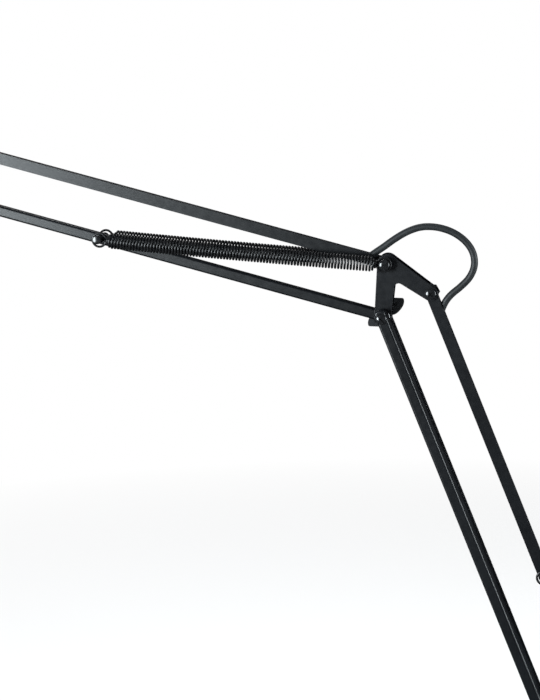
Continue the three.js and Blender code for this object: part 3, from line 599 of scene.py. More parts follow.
def makeStrainRelief():
    low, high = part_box("cord_strain_relief")
    bore, flange = leadRadius + 0.0001, low.y + 0.0043
    wide = bore + reliefSetup["flange"]
    profile = [(bore, low.y), (bore + 0.0018, low.y), (bore + 0.0018, flange), (wide, flange),
               (wide, flange + 0.0025), (wide - 0.0008, flange + 0.0035)]
    first, last = flange + 0.0050, high.y - 0.001
    for i in range(reliefSetup["rings"]):  # a bending sleeve with grooves
        a, b = (first + (last - first) * (i + part) / reliefSetup["rings"] for part in (0, 0.62))
        ring = bore + reliefSetup["thick"] - reliefSetup["thinner"] * i / reliefSetup["rings"]
        groove = ring - reliefSetup["ringDepth"]
        profile += [(ring, a), (ring - 0.0001, b), (groove, b + 0.0003), (groove, b + 0.0012)]
    profile += [(bore + 0.0009, high.y - 0.0005), (bore, high.y)]
    place = (0, 0, middle("cord_strain_relief").z)
    relief = lathe("strainRelief", profile, place, (0, 1, 0), blackPlastic, 48, closed=True, sharp=28)
    return settle(relief, "base", "moulded_plastic", "cord_strain_relief")


tieSetup = {"turn": -2.2, "width": 0.009, "thickness": 0.0009, "round": 0.005, "slack": 0.0006}


def makeTie():
    centre = middle("cord_coil")
    reach = leadRadius + tieSetup["slack"]
    inner, outer = mainsLead["columns"][0] / 1000 - reach, mainsLead["columns"][2] / 1000 + reach
    low, high = 0.0009, mainsLead["layers"][1] / 1000 + reach - 0.0001
    bend = tieSetup["round"]
    line = []  # (distance from the coil's middle, height), round the section of the coil
    for cr, cz, start in ((outer - bend, high - bend, 0), (inner + bend, high - bend, 90),
                          (inner + bend, low + bend, 180), (outer - bend, low + bend, 270)):
        line += arcPoints((cr, cz), bend, math.radians(start), math.radians(start + 90))
    out = Vector((math.cos(tieSetup["turn"]), math.sin(tieSetup["turn"]), 0))
    across = Vector((-out.y, out.x, 0)) * tieSetup["width"] / 2
    points, faces = [], []
    count = len(line)
    heart = Vector(((inner + outer) / 2, (low + high) / 2))
    for grow in (0.0, tieSetup["thickness"]):
        for place in line:
            away = (Vector(place) - heart).normalized() * grow
            here = Vector((centre.x, centre.y, 0)) + out * (place[0] + away.x)
            here.z = max(place[1] + away.y, 0.0002)  # flat on the table
            points += [here - across, here + across]
    for i in range(count):
        j = (i + 1) % count
        a, b, c, d = 2 * i, 2 * j, 2 * (count + i), 2 * (count + j)
        faces += [(a, b, b + 1, a + 1), (c, c + 1, d + 1, d), (a, c, d, b), (a + 1, b + 1, d + 1, c + 1)]
    tie = meshFrom("coilTie", points, faces, strap)
    return settle(tie, "base", "tie_strap", "cord_tie")


mainsCord = makeMainsLead()
settle(mainsCord, "base", "lead_sheath", "mains_cord", "cord_coil", "cord_tail")
plugPieces = makePlug()
strainRelief = makeStrainRelief()
coilTie = makeTie()
print("mains lead made")

barSetup = {"side": 0.010, "wall": 0.0011, "overhang": 0.008, "endRadius": 0.004, "edge": 0.0021,
            "endWall": 0.002}


def barOutline(start, end):
    run = (end - start).normalized()
    up = Vector((-run.z, 0, run.x))
    half, over, corner = barSetup["side"] / 2, barSetup["overhang"], barSetup["endRadius"]
    length = (end - start).length
    local = []
    far, near, edge = length + over - corner, -over + corner, half - corner
    for cx, cz, first in ((far, -edge, -90), (far, edge, 0), (near, edge, 90), (near, -edge, 180)):
        local += arcPoints((cx, cz), corner, math.radians(first), math.radians(first + 90))
    places = [start + run * x + up * z for x, z in local]
    return [(p.x, p.z) for p in places]


def makeBar(name, node, body, start, end, y=0.0, holes=()):
    half = barSetup["side"] / 2
    bar = prism(name, barOutline(start, end), y - half, y + half, blackPaint)
    run = (end - start).normalized()
    inside = barSetup["side"] - 2 * barSetup["wall"]
    turn = math.atan2(-run.z, run.x)
    hollow = (end - start).length + 2 * (barSetup["overhang"] - barSetup["endWall"])
    cavity = boxTool((start + end) / 2 + Vector((0, y, 0)), (hollow, inside, inside), turn)
    carve(bar, cavity, *holes)
    soften(bar, barSetup["edge"], 4)
    return settle(bar, body, "black_paint", node)


# leads between the pieces: listed points (x, z) in millimetres from a pivot
elbowLoop = {"points": [
    (-14.2, 53), (-9.1, 57), (-0.8, 62.8), (8.3, 69.6), (16.6, 75), (24.6, 79), (33.1, 81.6), (42, 82.2),
    (51.4, 81), (60.6, 78), (68.9, 73.2), (75.5, 67), (80, 59.6), (81.7, 51.3), (80.5, 43.3), (76.3, 35.4),
    (69.2, 28), (61.9, 21.6), (56.8, 15.4), (53.6, 8.8), (51.6, 3)], "split": 9, "from": elbowBottom}
baseLoop = {"points": [
    (-8, 26), (-3, 21), (3.5, 17.2), (12, 14.6), (20.8, 12), (29, 7.4), (35.2, 0.2), (38.6, -8.6),
    (38.4, -18), (34.4, -26.6), (27.4, -33), (18.6, -36.6), (9.4, -37.9), (-2, -38)], "from": baseRight}
headLoop = {"points": [
    (14.5, 1.2), (9.4, 5), (1.6, 11.6), (-7.6, 18.4), (-18, 23.8), (-29.4, 26.6), (-41, 26.4), (-52, 23),
    (-61.6, 16.6), (-68.8, 7.6), (-73.2, -3.2), (-75.2, -14.6)], "split": 5, "from": headTop}


def loopPlaces(loop):
    return [loop["from"] + Vector((x, 0, z)) / 1000 for x, z in loop["points"]]


elbowPlaces = loopPlaces(elbowLoop)
basePlaces = loopPlaces(baseLoop)
headPlaces = loopPlaces(headLoop) + [Vector((shadeAxis, 0, capTop + h)) for h in (0.007, -0.006)]


def leadHole(places):
    line = smoothPath(places, 6)
    return sweep("cutter", line, leadRadius + 0.00045, blackPaint, 24)


makeBar("upperTopBar", "upper_top_bar", "upper_top", headTop, elbowTop,
        holes=[leadHole(elbowPlaces[:4]), leadHole(headPlaces[:4])])
makeBar("upperBottomBar", "upper_bottom_bar", "upper_bottom", headBottom, elbowBottom)
makeBar("lowerCentreBar", "lower_center_bar", "lower_center", elbowRight, baseRight,
        holes=[leadHole(elbowPlaces[-4:]), leadHole(basePlaces[:4])])
sideY = abs(middle("lower_front_bar").y)
makeBar("lowerFrontBar", "lower_front_bar", "lower_sides", elbowBottom, baseLeft, -sideY)
makeBar("lowerRearBar", "lower_rear_bar", "lower_sides", elbowBottom, baseLeft, sideY)
print("bars made")


def makeLead(name, places, first, last, node):
    # one stretch of a loop, from its point at first to its point at last
    steps = 6
    line = smoothPath(places, steps)
    low, high = sorted((first, last))
    part = line[max(0, low * steps - 1):high * steps + 2]  # a step over, to meet the other half
    lead = sweep(name, part if first < last else part[::-1], leadRadius, sheath, 24)
    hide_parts(node)
    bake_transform(lead)
    return lead


split = elbowLoop["split"]
makeLead("elbowLeadUpper", elbowPlaces, split, 0, "elbow_lead_upper")
makeLead("elbowLeadLower", elbowPlaces, split, len(elbowPlaces) - 1,
         "elbow_lead_lower")
makeLead("baseLead", basePlaces, len(basePlaces) - 1, 0, "base_lead")
split = headLoop["split"]
makeLead("headLeadUpper", headPlaces, split, 0, "head_lead_upper")
makeLead("headLeadLower", headPlaces, split, len(headPlaces) - 1, "head_lead_lower")
for node in ("lower_lead", "upper_lead"):
    refinish(node, sheath)
print("leads made")

plateSetup = {"cornerLobe": 0.0089, "cornerShift": 0.0016, "lowLobe": 0.0076, "sideLobe": 0.0066,
              "fillet": 0.004, "edge": 0.00035}


def bracketOutline(corner, low, side):
    # two tapering legs, with a filleted inside
    lobe, fillet = plateSetup["cornerLobe"], plateSetup["fillet"]
    centre = Vector((corner.x + math.copysign(plateSetup["cornerShift"], side.x - corner.x), corner.z))
    legs = []
    for end, radius in ((low, plateSetup["lowLobe"]), (side, plateSetup["sideLobe"])):
        place = Vector((end.x, end.z))
        run = place - centre
        legs.append((place, radius, math.atan2(run.y, run.x), math.acos((lobe - radius) / run.length)))
    (lowPlace, lowRadius, lowAngle, lowOpen), (sidePlace, sideRadius, sideAngle, sideOpen) = legs
    turn = math.copysign(1, math.sin(sideAngle - lowAngle))
    outer = (lowAngle - turn * lowOpen, sideAngle + turn * sideOpen)
    inner = (lowAngle + turn * lowOpen, sideAngle - turn * sideOpen)
    half = (inner[1] - inner[0]) / 2
    reach = (lobe + fillet) / math.cos(half)
    heart = centre + Vector((math.cos(inner[0] + half), math.sin(inner[0] + half))) * reach
    clockwise = turn < 0
    outline = arcPoints(centre, lobe, outer[1], outer[0], clockwise, 20)
    outline += arcPoints(lowPlace, lowRadius, outer[0], inner[0], clockwise, 24)
    outline += arcPoints(heart, fillet, inner[0] + math.pi, inner[1] + math.pi, not clockwise, 10)
    outline += arcPoints(sidePlace, sideRadius, inner[1], outer[1], clockwise, 24)
    return outline


def hullOutline(lobes, radius, steps=12):
    # round a set of equal lobes, listed anticlockwise
    outline = []
    for i, lobe in enumerate(lobes):
        before, after = lobes[i - 1], lobes[(i + 1) % len(lobes)]
        start = math.atan2(lobe[1] - before[1], lobe[0] - before[0]) - math.pi / 2
        end = math.atan2(after[1] - lobe[1], after[0] - lobe[0]) - math.pi / 2
        outline += arcPoints(lobe, radius, start, end, False, steps)
    return outline


def makePlates(prefix, body, outlines):
    for side in ("front", "rear"):
        node = prefix + "_plate_" + side
        low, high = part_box(node)
        plate = prism(prefix + "Plate" + side.title(), outlines[0], low.y, high.y, blackPaint)
        for more in outlines[1:]:
            fuse(plate, prism("more", more, low.y, high.y, blackPaint))
        soften(plate, plateSetup["edge"], 2)
        settle(plate, body, "black_paint", node)


makePlates("elbow", "elbow", [bracketOutline(elbowTop, elbowBottom, elbowRight)])
makePlates("head", "head_bracket", [bracketOutline(headTop, headBottom, headTilt)])
yokeSetup = {"stem": 0.008, "collar": 0.019, "collarHeight": 0.006, "blockHalf": 0.024, "blockHeight": 0.022}
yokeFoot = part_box("swivel_yoke")[1].z - yokeSetup["blockHeight"]
footRadius, armRadius, footReach = 0.007, 0.0069, 0.018
flat = [(p.x, p.z) for p in (baseRight, baseLeft)]
feet = [(x, yokeFoot + footRadius) for x in (-footReach, footReach)]
arm = [(basePost.x, basePost.z), (baseRight.x - 0.003, baseRight.z), flat[0]]
makePlates("base", "swivel", [hullOutline(flat + feet, footRadius), hullOutline(arm, armRadius)])
print("brackets made")

screwSetup = {"headRadius": 0.0051, "headHeight": 0.0028, "slotWidth": 0.0013, "slotDepth": 0.0011,
              "slotLength": 0.0125, "cross": (0.0052, 0.0036, 0.0011), "shank": 0.0025, "threadLength": 0.006,
              "threadPitch": 0.0008, "threadDepth": 0.00042, "edge": 0.00018, "crossEdge": 0.00015}


def domeProfile(front, seat, radius):
    height = seat - front
    rim = seat - height * 0.34
    profile = [(0, front)]
    for i in range(1, 9):
        angle = math.radians(90 * i / 8)
        profile.append((radius * math.sin(angle) * 0.985, rim - (rim - front) * math.cos(angle)))
    return profile + [(radius, rim + 0.0002), (radius, seat - 0.0002), (radius - 0.0002, seat)]


def makeScrew(name, node, body, slot=None, cross=None, threadFrom=None):
    # slot and cross are the angles of a straight recess and of a cross recess
    low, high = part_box(node)
    place = pivot(node)
    front, end = low.y, high.y
    seat, shank, pitch = front + screwSetup["headHeight"], screwSetup["shank"], screwSetup["threadPitch"]
    profile = domeProfile(front, seat, screwSetup["headRadius"]) + [(shank, seat)]
    y = end - screwSetup["threadLength"] if threadFrom is None else threadFrom
    while y < end - pitch:
        profile += [(shank, y), (shank - screwSetup["threadDepth"], y + pitch / 2)]
        y += pitch
    profile += [(shank, y), (shank - 0.0005, end), (0, end)]
    screw = lathe(name, profile, place, (0, 1, 0), blackHardware, 56, sharp=40)
    face = (place.x, front, place.z)
    if slot is not None:
        size = (screwSetup["slotLength"], 2 * screwSetup["slotDepth"], screwSetup["slotWidth"])
        carve(screw, boxTool(face, size, -slot))
    if cross is not None:
        carve(screw, *(boxTool(face, screwSetup["cross"], -angle) for angle in (cross, cross + math.pi / 2)))
    soften(screw, screwSetup["edge"] if cross is None else screwSetup["crossEdge"], 2, 50)
    return settle(screw, body, "black_hardware", node)


makeScrew("elbowTopScrew", "elbow_top_bolt", "elbow", 0.52, threadFrom=0.0150)
makeScrew("elbowRightScrew", "elbow_right_bolt", "elbow", cross=0.75, threadFrom=0.0080)
for name, node, body, slot in (("elbowBottomScrew", "elbow_bottom_bolt", "elbow", 2.4),
                               ("baseRightScrew", "base_right_bolt", "swivel", 0.4),
                               ("baseLeftScrew", "base_left_bolt", "swivel", 1.2),
                               ("headTopScrew", "head_top_bolt", "head_bracket", 0.9),
                               ("headBottomScrew", "head_bottom_bolt", "head_bracket", 2.1),
                               ("headTiltScrew", "head_tilt_bolt", "head_bracket", 1.6)):
    makeScrew(name, node, body, slot)
print("screws made")

nutSetup = {"corner": 0.0059, "wideCorner": 0.0072, "height": 0.0046, "chamfer": 0.0009, "edge": 0.0002}


def makeNut(name, place, y0, body, turn, node, corner=nutSetup["corner"]):
    y1, cut, wide = y0 + nutSetup["height"], nutSetup["chamfer"], corner + 0.0003
    outline = [(place.x + corner * math.sin(turn + i * math.pi / 3),
                place.z + corner * math.cos(turn + i * math.pi / 3)) for i in range(6)]
    nut = prism(name, outline, y0, y1, blackHardware)
    barrel = [(0, y0 - 0.0001), (corner - cut, y0 - 0.0001), (wide, y0 + cut * 0.62), (wide, y1 - cut * 0.62),
              (corner - cut, y1 + 0.0001), (0, y1 + 0.0001)]
    combine(nut, "INTERSECT", lathe("cutter", barrel, (place.x, 0, place.z), (0, 1, 0), blackHardware, 72))
    carve(nut, rodTool(place, screwSetup["shank"] + 0.0002, y0 - 0.001, y1 + 0.001))
    soften(nut, nutSetup["edge"], 2, 40)
    return settle(nut, body, "black_hardware", node)


def seatOf(node):
    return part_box(node)[0].y


nutY = seatOf("elbow_right_nut")
makeNut("elbowTopNut", elbowTop, seatOf("elbow_top_nut"), "elbow", 0.3, "elbow_top_nut")
makeNut("elbowRightNut", elbowRight, nutY, "elbow", math.pi / 6, "elbow_right_nut", nutSetup["wideCorner"])
makeNut("baseRightNut", baseRight, nutY, "swivel", 0.2, "base_right_nut")
makeNut("baseLeftNut", baseLeft, seatOf("base_left_nut"), "swivel", 0.5, "base_left_nut")
makeNut("headTopNut", headTop, nutY, "head_bracket", 0.0, "head_top_bolt")
makeNut("headBottomNut", headBottom, nutY, "head_bracket", 0.4, "head_bottom_bolt")

wingSetup = {"reach": 0.0205, "width": 0.0144, "thickness": 0.0017, "hub": 0.006, "height": 0.008,
             "dimple": 0.0018, "dimpleDepth": 0.001, "dimpleAt": 0.58, "lift": 0.002}


def curveTo(outline, control, end, steps=10):
    start = outline[-1]
    for i in range(1, steps + 1):
        t = i / steps
        outline.append(tuple((1 - t) ** 2 * a + 2 * (1 - t) * t * b + t * t * c
                             for a, b, c in zip(start, control, end)))


def makeWingNut(name, node, body, place, angle):
    y0 = seatOf(node)
    back = y0 + wingSetup["lift"]
    reach, wide, waist = wingSetup["reach"], wingSetup["width"] / 2, wingSetup["hub"] * 0.9
    outline = []
    for side in (1, -1):
        def point(x, z):
            return side * reach * x, side * z
        outline.append(point(0.12, waist))
        curveTo(outline, point(0.39, wide * 1.06), point(0.615, wide * 0.97))
        outline.append(point(0.97, wide * 0.04))
        curveTo(outline, point(1.02, -wide * 0.13), point(0.985, -wide * 0.28), 5)
        curveTo(outline, point(0.91, -wide * 0.64), point(0.755, -wide * 0.82))
        curveTo(outline, point(0.54, -wide * 1.05), point(0.33, -wide))
        curveTo(outline, point(0.2, -wide * 0.95), point(0.12, -waist))
    ears = prism(name, outline, back, back + wingSetup["thickness"], wingFinish)
    for side in (1, -1):
        carve(ears, rodTool(Vector((side * reach * wingSetup["dimpleAt"], 0, 0)), wingSetup["dimple"], y0,
                            back + wingSetup["dimpleDepth"]))
    hub, top = wingSetup["hub"], y0 + wingSetup["height"]
    profile = [(0, y0), (hub, y0), (hub, y0 + 0.0035), (hub * 0.93, y0 + 0.0045), (hub * 0.82, top - 0.0006),
               (hub * 0.72, top), (0, top)]
    fuse(ears, lathe("hub", profile, (0, 0, 0), (0, 1, 0), wingFinish, 56))
    carve(ears, rodTool(Vector((0, 0, 0)), screwSetup["shank"] + 0.0002, y0 - 0.001, top + 0.001))
    ears.data.transform(Matrix.Translation((place.x, 0, place.z)) @ Matrix.Rotation(-angle, 4, "Y"))
    soften(ears, 0.0004, 3, 38)
    return settle(ears, body, "black_hardware", node)


makeWingNut("elbowWingNut", "elbow_wing_nut", "elbow_wing", elbowBottom, 0.73)
makeWingNut("headWingNut", "head_wing_nut", "head_wing", headTilt, 0.35)


ringSetup = {"spool": 0.0043, "washer": 0.0066, "edge": 0.00025, "clearance": 0.00015}


def makeRing(name, node, place, outer):
    low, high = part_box(node)
    bore, cut = screwSetup["shank"] + ringSetup["clearance"], ringSetup["edge"]
    profile = [(bore, low.y), (outer - cut, low.y), (outer, low.y + cut), (outer, high.y - cut),
               (outer - cut, high.y), (bore, high.y)]
    ring = lathe(name, profile, (place.x, 0, place.z), (0, 1, 0), blackHardware, 56, closed=True)
    return settle(ring, "elbow", "black_hardware", node)


for kind, place in (("spool", elbowTop), ("washer", elbowBottom)):
    for side in ("front", "rear"):
        makeRing("elbow" + kind.title() + side.title(), "elbow_" + kind + "_" + side, place, ringSetup[kind])

pinSetup = {"radius": 0.0033, "head": 0.0039, "rim": 0.0016}


def makePin(name, node, body, place):
    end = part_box(node)[1].y
    radius, head, inside = pinSetup["radius"], pinSetup["head"], end - pinSetup["rim"]
    half = [(radius, inside), (head - 0.0002, inside), (head, inside + 0.0002), (head, end - 0.0007),
            (head - 0.0003, end - 0.0002), (head - 0.001, end), (0, end)]
    profile = [(r, -y) for r, y in reversed(half)] + half
    pin = lathe(name, profile, (place.x, 0, place.z), (0, 1, 0), blackHardware, 56)
    return settle(pin, body, "black_hardware", node)


makePin("upperSpringPin", "upper_spring_pin", "upper_bottom", upperPin)
makePin("lowerSpringPin", "lower_spring_pin", "lower_center", lowerPin)
makePin("baseSpringPost", "base_spring_post", "swivel", basePost)
print("nuts and pins made")

springSetup = {"wire": 0.0021, "coil": 0.0072, "ring": 0.0062, "gap": 0.0003, "steps": 18,
               "closedCoils": 2, "shank": 0.0006, "taper": 2.2, "narrow": 0.42, "sag": 0.0008,
               "lean": 0.0009, "upperPitch": 0.00281, "lowerPitch": 0.0024, "zone": 0.35}


def springLine(start, startSeat, end, endSeat, y, pitch):
    run = (end - start).normalized()
    up = Vector((-run.z, 0, run.x))
    if up.z < 0:
        up = -up
    out = Vector((0, 1, 0))
    ring, wire = springSetup["ring"], springSetup["wire"]
    hug = ring - wire / 2 - springSetup["gap"]
    shift = Vector((0, y, 0))
    first = start + run * (hug - startSeat) + shift
    last = end + run * (endSeat - hug) + shift
    lead = ring + springSetup["shank"]
    bodyStart, bodyEnd = first + run * lead, last - run * lead
    length = (bodyEnd - bodyStart).length
    turns = round(length / pitch)
    radius = springSetup["coil"] - wire / 2

    def ringPoint(centre, away, degrees, aside):
        a = math.radians(degrees)
        return centre + (away * math.cos(a) + up * math.sin(a)) * ring + out * aside

    def lean(degrees):  # the open end of a ring stands a little aside
        return springSetup["lean"] * (degrees < 0) * (-degrees / 165)

    line = [ringPoint(first, -run, a, lean(a)) for a in range(-165, 149, 7)]
    closed = springSetup["closedCoils"]
    share = closed * wire * 1.03 / length  # of the length, taken by the closed coils at each end
    count = turns * springSetup["steps"]
    for i in range(count + 1):
        turn = i / springSetup["steps"]
        if turn < closed:
            t = share * turn / closed
        elif turn > turns - closed:
            t = 1 - share * (turns - turn) / closed
        else:
            t = share + (1 - 2 * share) * (turn - closed) / (turns - 2 * closed)
        angle = 2 * math.pi * turn
        nearEnd = min(turn, turns - turn) / springSetup["taper"]
        wide = radius * (springSetup["narrow"] + (1 - springSetup["narrow"]) * eased(nearEnd))
        middlePoint = bodyStart + run * length * t - up * springSetup["sag"] * math.sin(math.pi * t)
        line.append(middlePoint + (up * math.cos(angle) + out * math.sin(angle)) * wide)
    line += [ringPoint(last, run, a, -lean(a)) for a in range(148, -166, -7)]
    return line


def makeSprings(kind, start, end, endSeat, pitch):
    for side in ("front", "rear"):
        node = kind + "_spring_" + side
        y = middle(node).y
        line = springLine(start, pinSetup["radius"], end, endSeat, y, pitch)
        spring = sweep(kind + "Spring" + side.title(), line, springSetup["wire"] / 2, springSteel, 10)
        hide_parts(node)
        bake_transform(spring)


makeSprings("upper", upperPin, elbowTop, ringSetup["spool"],
            springSetup["upperPitch"])
makeSprings("lower", lowerPin, basePost, pinSetup["radius"],
            springSetup["lowerPitch"])
print("springs made")

baseSetup = {"radius": 0.120, "height": 0.022, "edge": 0.006, "shell": 0.0016, "opening": 0.012}
socketSetup = {"bore": 0.00835, "neck": 0.0117, "edge": 0.0025}


def makeCover():
    radius, top, edge, shell = (baseSetup[k] for k in ("radius", "height", "edge", "shell"))
    low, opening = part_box("base_cover")[0].z, baseSetup["opening"]
    centre = (radius - edge, top - edge)
    outer = [(radius - 0.0004, low), (radius, low + 0.0004), *roundEdge(centre, edge, 0, 91, 9),
             (radius / 2, top), (0.0185, top), (opening, top)]
    inner = [(opening, top - shell), (radius - edge, top - shell),
             *roundEdge(centre, edge - shell, 75, -1, -15), (radius - shell, low)]
    cover = lathe("baseCover", outer + inner, (0, 0, 0), (0, 0, 1), blackPaint, 160, closed=True, sharp=28)
    outlet = Vector((0, 0, middle("cord_strain_relief").z))
    carve(cover, rodTool(outlet, leadRadius + 0.0022, radius - 0.020, radius + 0.010))
    settle(cover, "base", "black_paint", "base_cover")


def makePad():
    wide, _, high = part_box("base_pad")[1]
    profile = [(0, 0.0), (wide - 0.0004, 0.0), (wide, 0.0004), (wide, high), (0, high)]
    pad = lathe("basePad", profile, (0, 0, 0), (0, 0, 1), felt, 128)
    settle(pad, "base", "felt", "base_pad")


def makeSocket():
    low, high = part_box("swivel_socket")
    outside, bore, neck, edge = high.x, socketSetup["bore"], socketSetup["neck"], socketSetup["edge"]
    seat = baseSetup["height"] + 0.0003
    profile = [(bore, low.z), (neck, low.z), (neck, seat), (outside, seat), (outside, high.z - edge),
               *roundEdge((outside - edge, high.z - edge), edge, 15, 91, 15), (bore, high.z)]
    socket = lathe("swivelSocket", profile, (0, 0, 0), (0, 0, 1), blackHardware, 96, closed=True)
    settle(socket, "base", "black_hardware", "swivel_socket")


makeCover()
makePad()
makeSocket()
refinish("base_weight", iron)


def makeYoke():
    low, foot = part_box("swivel_yoke")[0], yokeFoot
    under = foot - yokeSetup["collarHeight"]
    stem, collar = yokeSetup["stem"], yokeSetup["collar"]
    profile = [(0, low.z), (stem - 0.0006, low.z), (stem, low.z + 0.0006), (stem, under),
               (collar - 0.0018, under), (collar - 0.0005, under + 0.0005), (collar, under + 0.0018),
               (collar, foot - 0.0018), (collar - 0.0005, foot - 0.0005), (collar - 0.0018, foot), (0, foot)]
    yoke = lathe("swivelYoke", profile, (0, 0, 0), (0, 0, 1), blackPaint, 96, sharp=50)
    depth = 2 * (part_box("base_plate_rear")[0].y - 0.0002)
    block = boxTool((0, 0, foot + yokeSetup["blockHeight"] / 2 - 0.0005),
                    (2 * yokeSetup["blockHalf"], depth, yokeSetup["blockHeight"] + 0.001))
    fuse(yoke, block)
    carve(yoke, leadHole(basePlaces[-3:]))
    soften(yoke, 0.0007, 3, 45)
    settle(yoke, "swivel", "black_paint", "swivel_yoke")


makeYoke()
print("base made")

knuckleSetup = {"lobe": 0.0065, "heel": 0.006, "corner": 0.009, "toe": 0.008, "clearance": 0.00035,
                "edge": 0.0006}


def makeKnuckle():
    corner = (shadeAxis + knuckleSetup["corner"], capTop + knuckleSetup["corner"])
    lobes = [(headTilt.x, headTilt.z), (headTilt.x - knuckleSetup["heel"], headTilt.z), corner,
             (corner[0] + knuckleSetup["toe"], corner[1])]
    half = seatOf("head_plate_rear") - knuckleSetup["clearance"]
    arm = prism("headKnuckle", hullOutline(lobes, knuckleSetup["lobe"], 14), -half, half, blackPaint)
    foot = [(0, 0.0003), (0.0145, 0.0003), (0.015, 0.0008), (0.015, 0.0030), (0.0145, 0.0040),
            (0.0128, 0.0056), (0.0118, 0.0060), (0, 0.0060)]
    fuse(arm, lathe("foot", foot, (shadeAxis, 0, capTop), (0, 0, 1), blackPaint, 80))
    carve(arm, leadHole([Vector((shadeAxis, 0, capTop + h)) for h in (0.030, 0.012, -0.004)]))
    soften(arm, knuckleSetup["edge"], 3, 45)
    return settle(arm, "head", "head_aluminium", "head_knuckle")


capSetup = {"radius": 0.024, "wall": 0.0012, "bore": 0.0054, "bend": 0.005, "grooves": (-0.0235, -0.0265),
            "grooveHalf": 0.0006, "grooveDepth": 0.0005, "vents": 14, "ventWidth": 0.0024,
            "ventHeight": 0.011, "ventDrop": 0.0125}


def makeCap():
    radius, wall, bore, bend = (capSetup[k] for k in ("radius", "wall", "bore", "bend"))
    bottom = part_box("socket_cap")[0].z - capTop
    outer = [(bore, 0), *roundEdge((radius - bend, -bend), bend, 90, -1, -9)]
    half, deep = capSetup["grooveHalf"], capSetup["grooveDepth"]
    for groove in capSetup["grooves"]:  # two turned lines under the vents
        outer += [(radius, groove + half), (radius - deep, groove), (radius, groove - half)]
    outer += [(radius, bottom + 0.0003), (radius - 0.0003, bottom)]
    inner = [(radius - wall, bottom), (radius - wall, -bend), (radius - bend, -wall), (bore, -wall)]
    cap = lathe("socketCap", outer + inner, (shadeAxis, 0, capTop), (0, 0, 1), blackPaint, 128, closed=True,
                sharp=28)
    half, tall = capSetup["ventWidth"] / 2, capSetup["ventHeight"] / 2
    outline = hullOutline([(0, tall - half), (0, -tall + half)], half, 10)
    tools = []
    for i in range(capSetup["vents"]):
        angle = 2 * math.pi * (i + 0.5) / capSetup["vents"]
        if abs(math.cos(angle) + 1) < 0.12:
            continue  # the switch is here
        slot = prism("cutter", outline, radius - 0.004, radius + 0.004, blackPaint)
        place = Matrix.Translation((shadeAxis, 0, capTop - capSetup["ventDrop"]))
        slot.data.transform(place @ Matrix.Rotation(angle - math.pi / 2, 4, "Z"))
        tools.append(slot)
    carve(cap, *tools)
    return settle(cap, "head", "head_aluminium", "socket_cap")


shadeSetup = {"wall": 0.0011, "bead": 0.0016, "overCap": 0.002, "steps": 40}


def makeShade():
    low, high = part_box("shade")
    rim = (high.x - low.x) / 2
    neck = capSetup["radius"] + shadeSetup["overCap"]
    top, bottom, wall, bead = high.z, low.z, shadeSetup["wall"], shadeSetup["bead"]
    a, b = Vector((neck, top - 0.009)), Vector((neck + 0.009, top - 0.022))  # the bell is one smooth curve
    c, d = Vector((rim - 0.010, top - 0.038)), Vector((rim - 0.002, bottom + 0.006))
    outer = [Vector((neck, top)), Vector((neck, top - 0.005))]
    for i in range(shadeSetup["steps"] + 1):
        t = i / shadeSetup["steps"]
        outer.append((1 - t) ** 3 * a + 3 * (1 - t) ** 2 * t * b + 3 * (1 - t) * t * t * c + t ** 3 * d)
    outer.append(Vector((rim - 0.0013, bottom + 0.0036)))
    inner = []
    for i, point in enumerate(outer):  # the inside face, a wall's thickness in
        ahead = outer[min(i + 1, len(outer) - 1)] - outer[max(i - 1, 0)]
        inner.append(point + Vector((ahead.y, -ahead.x)).normalized() * wall)
    inner[0] = Vector((neck - wall, top))
    rolled = roundEdge((rim - bead, bottom + bead), bead, 80, -181, -20)
    profile = [tuple(p) for p in outer] + rolled + [tuple(p) for p in reversed(inner)]
    shade = lathe("shade_bell", profile, (shadeAxis, 0, 0), (0, 0, 1), blackPaint, 160, closed=True, sharp=34)
    shade.data.materials.append(enamel)
    for face in shade.data.polygons:
        reach = Vector((face.center.x - shadeAxis, face.center.y))
        facing = reach.normalized().dot(Vector((face.normal.x, face.normal.y)))
        inward = facing < -0.05 or face.normal.z < -0.3
        if inward and reach.length < rim - 0.0022 and face.center.z < top - 0.002:
            face.material_index = 1
    return settle(shade, "head", "head_aluminium", "shade")


holderSetup = {"radius": 0.016, "band": 0.0008, "bore": 0.0136, "cordBore": 0.0038}


def makeHolder():
    low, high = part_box("lamp_holder")
    top, bottom, outside = high.z - 0.0102, low.z, holderSetup["radius"]
    band, bore, cordBore = outside + holderSetup["band"], holderSetup["bore"], holderSetup["cordBore"]
    profile = [(cordBore, high.z), (0.007, high.z), (0.005, top), (outside - 0.002, top),
               (outside, top - 0.002), (outside, bottom + 0.014), (band, bottom + 0.0135),
               (band, bottom + 0.0095), (outside, bottom + 0.009), (outside, bottom), (bore, bottom),
               (bore, bottom + 0.024), (cordBore, bottom + 0.024)]
    holder = lathe("lampHolder", profile, (shadeAxis, 0, 0), (0, 0, 1), blackPlastic, 96, closed=True)
    settle(holder, "head", "moulded_plastic", "lamp_holder")


bulbSetup = {"neck": 0.013, "globe": 0.030, "wall": 0.0012, "thread": 0.0131, "valley": 0.0122,
             "pitch": 0.0036}


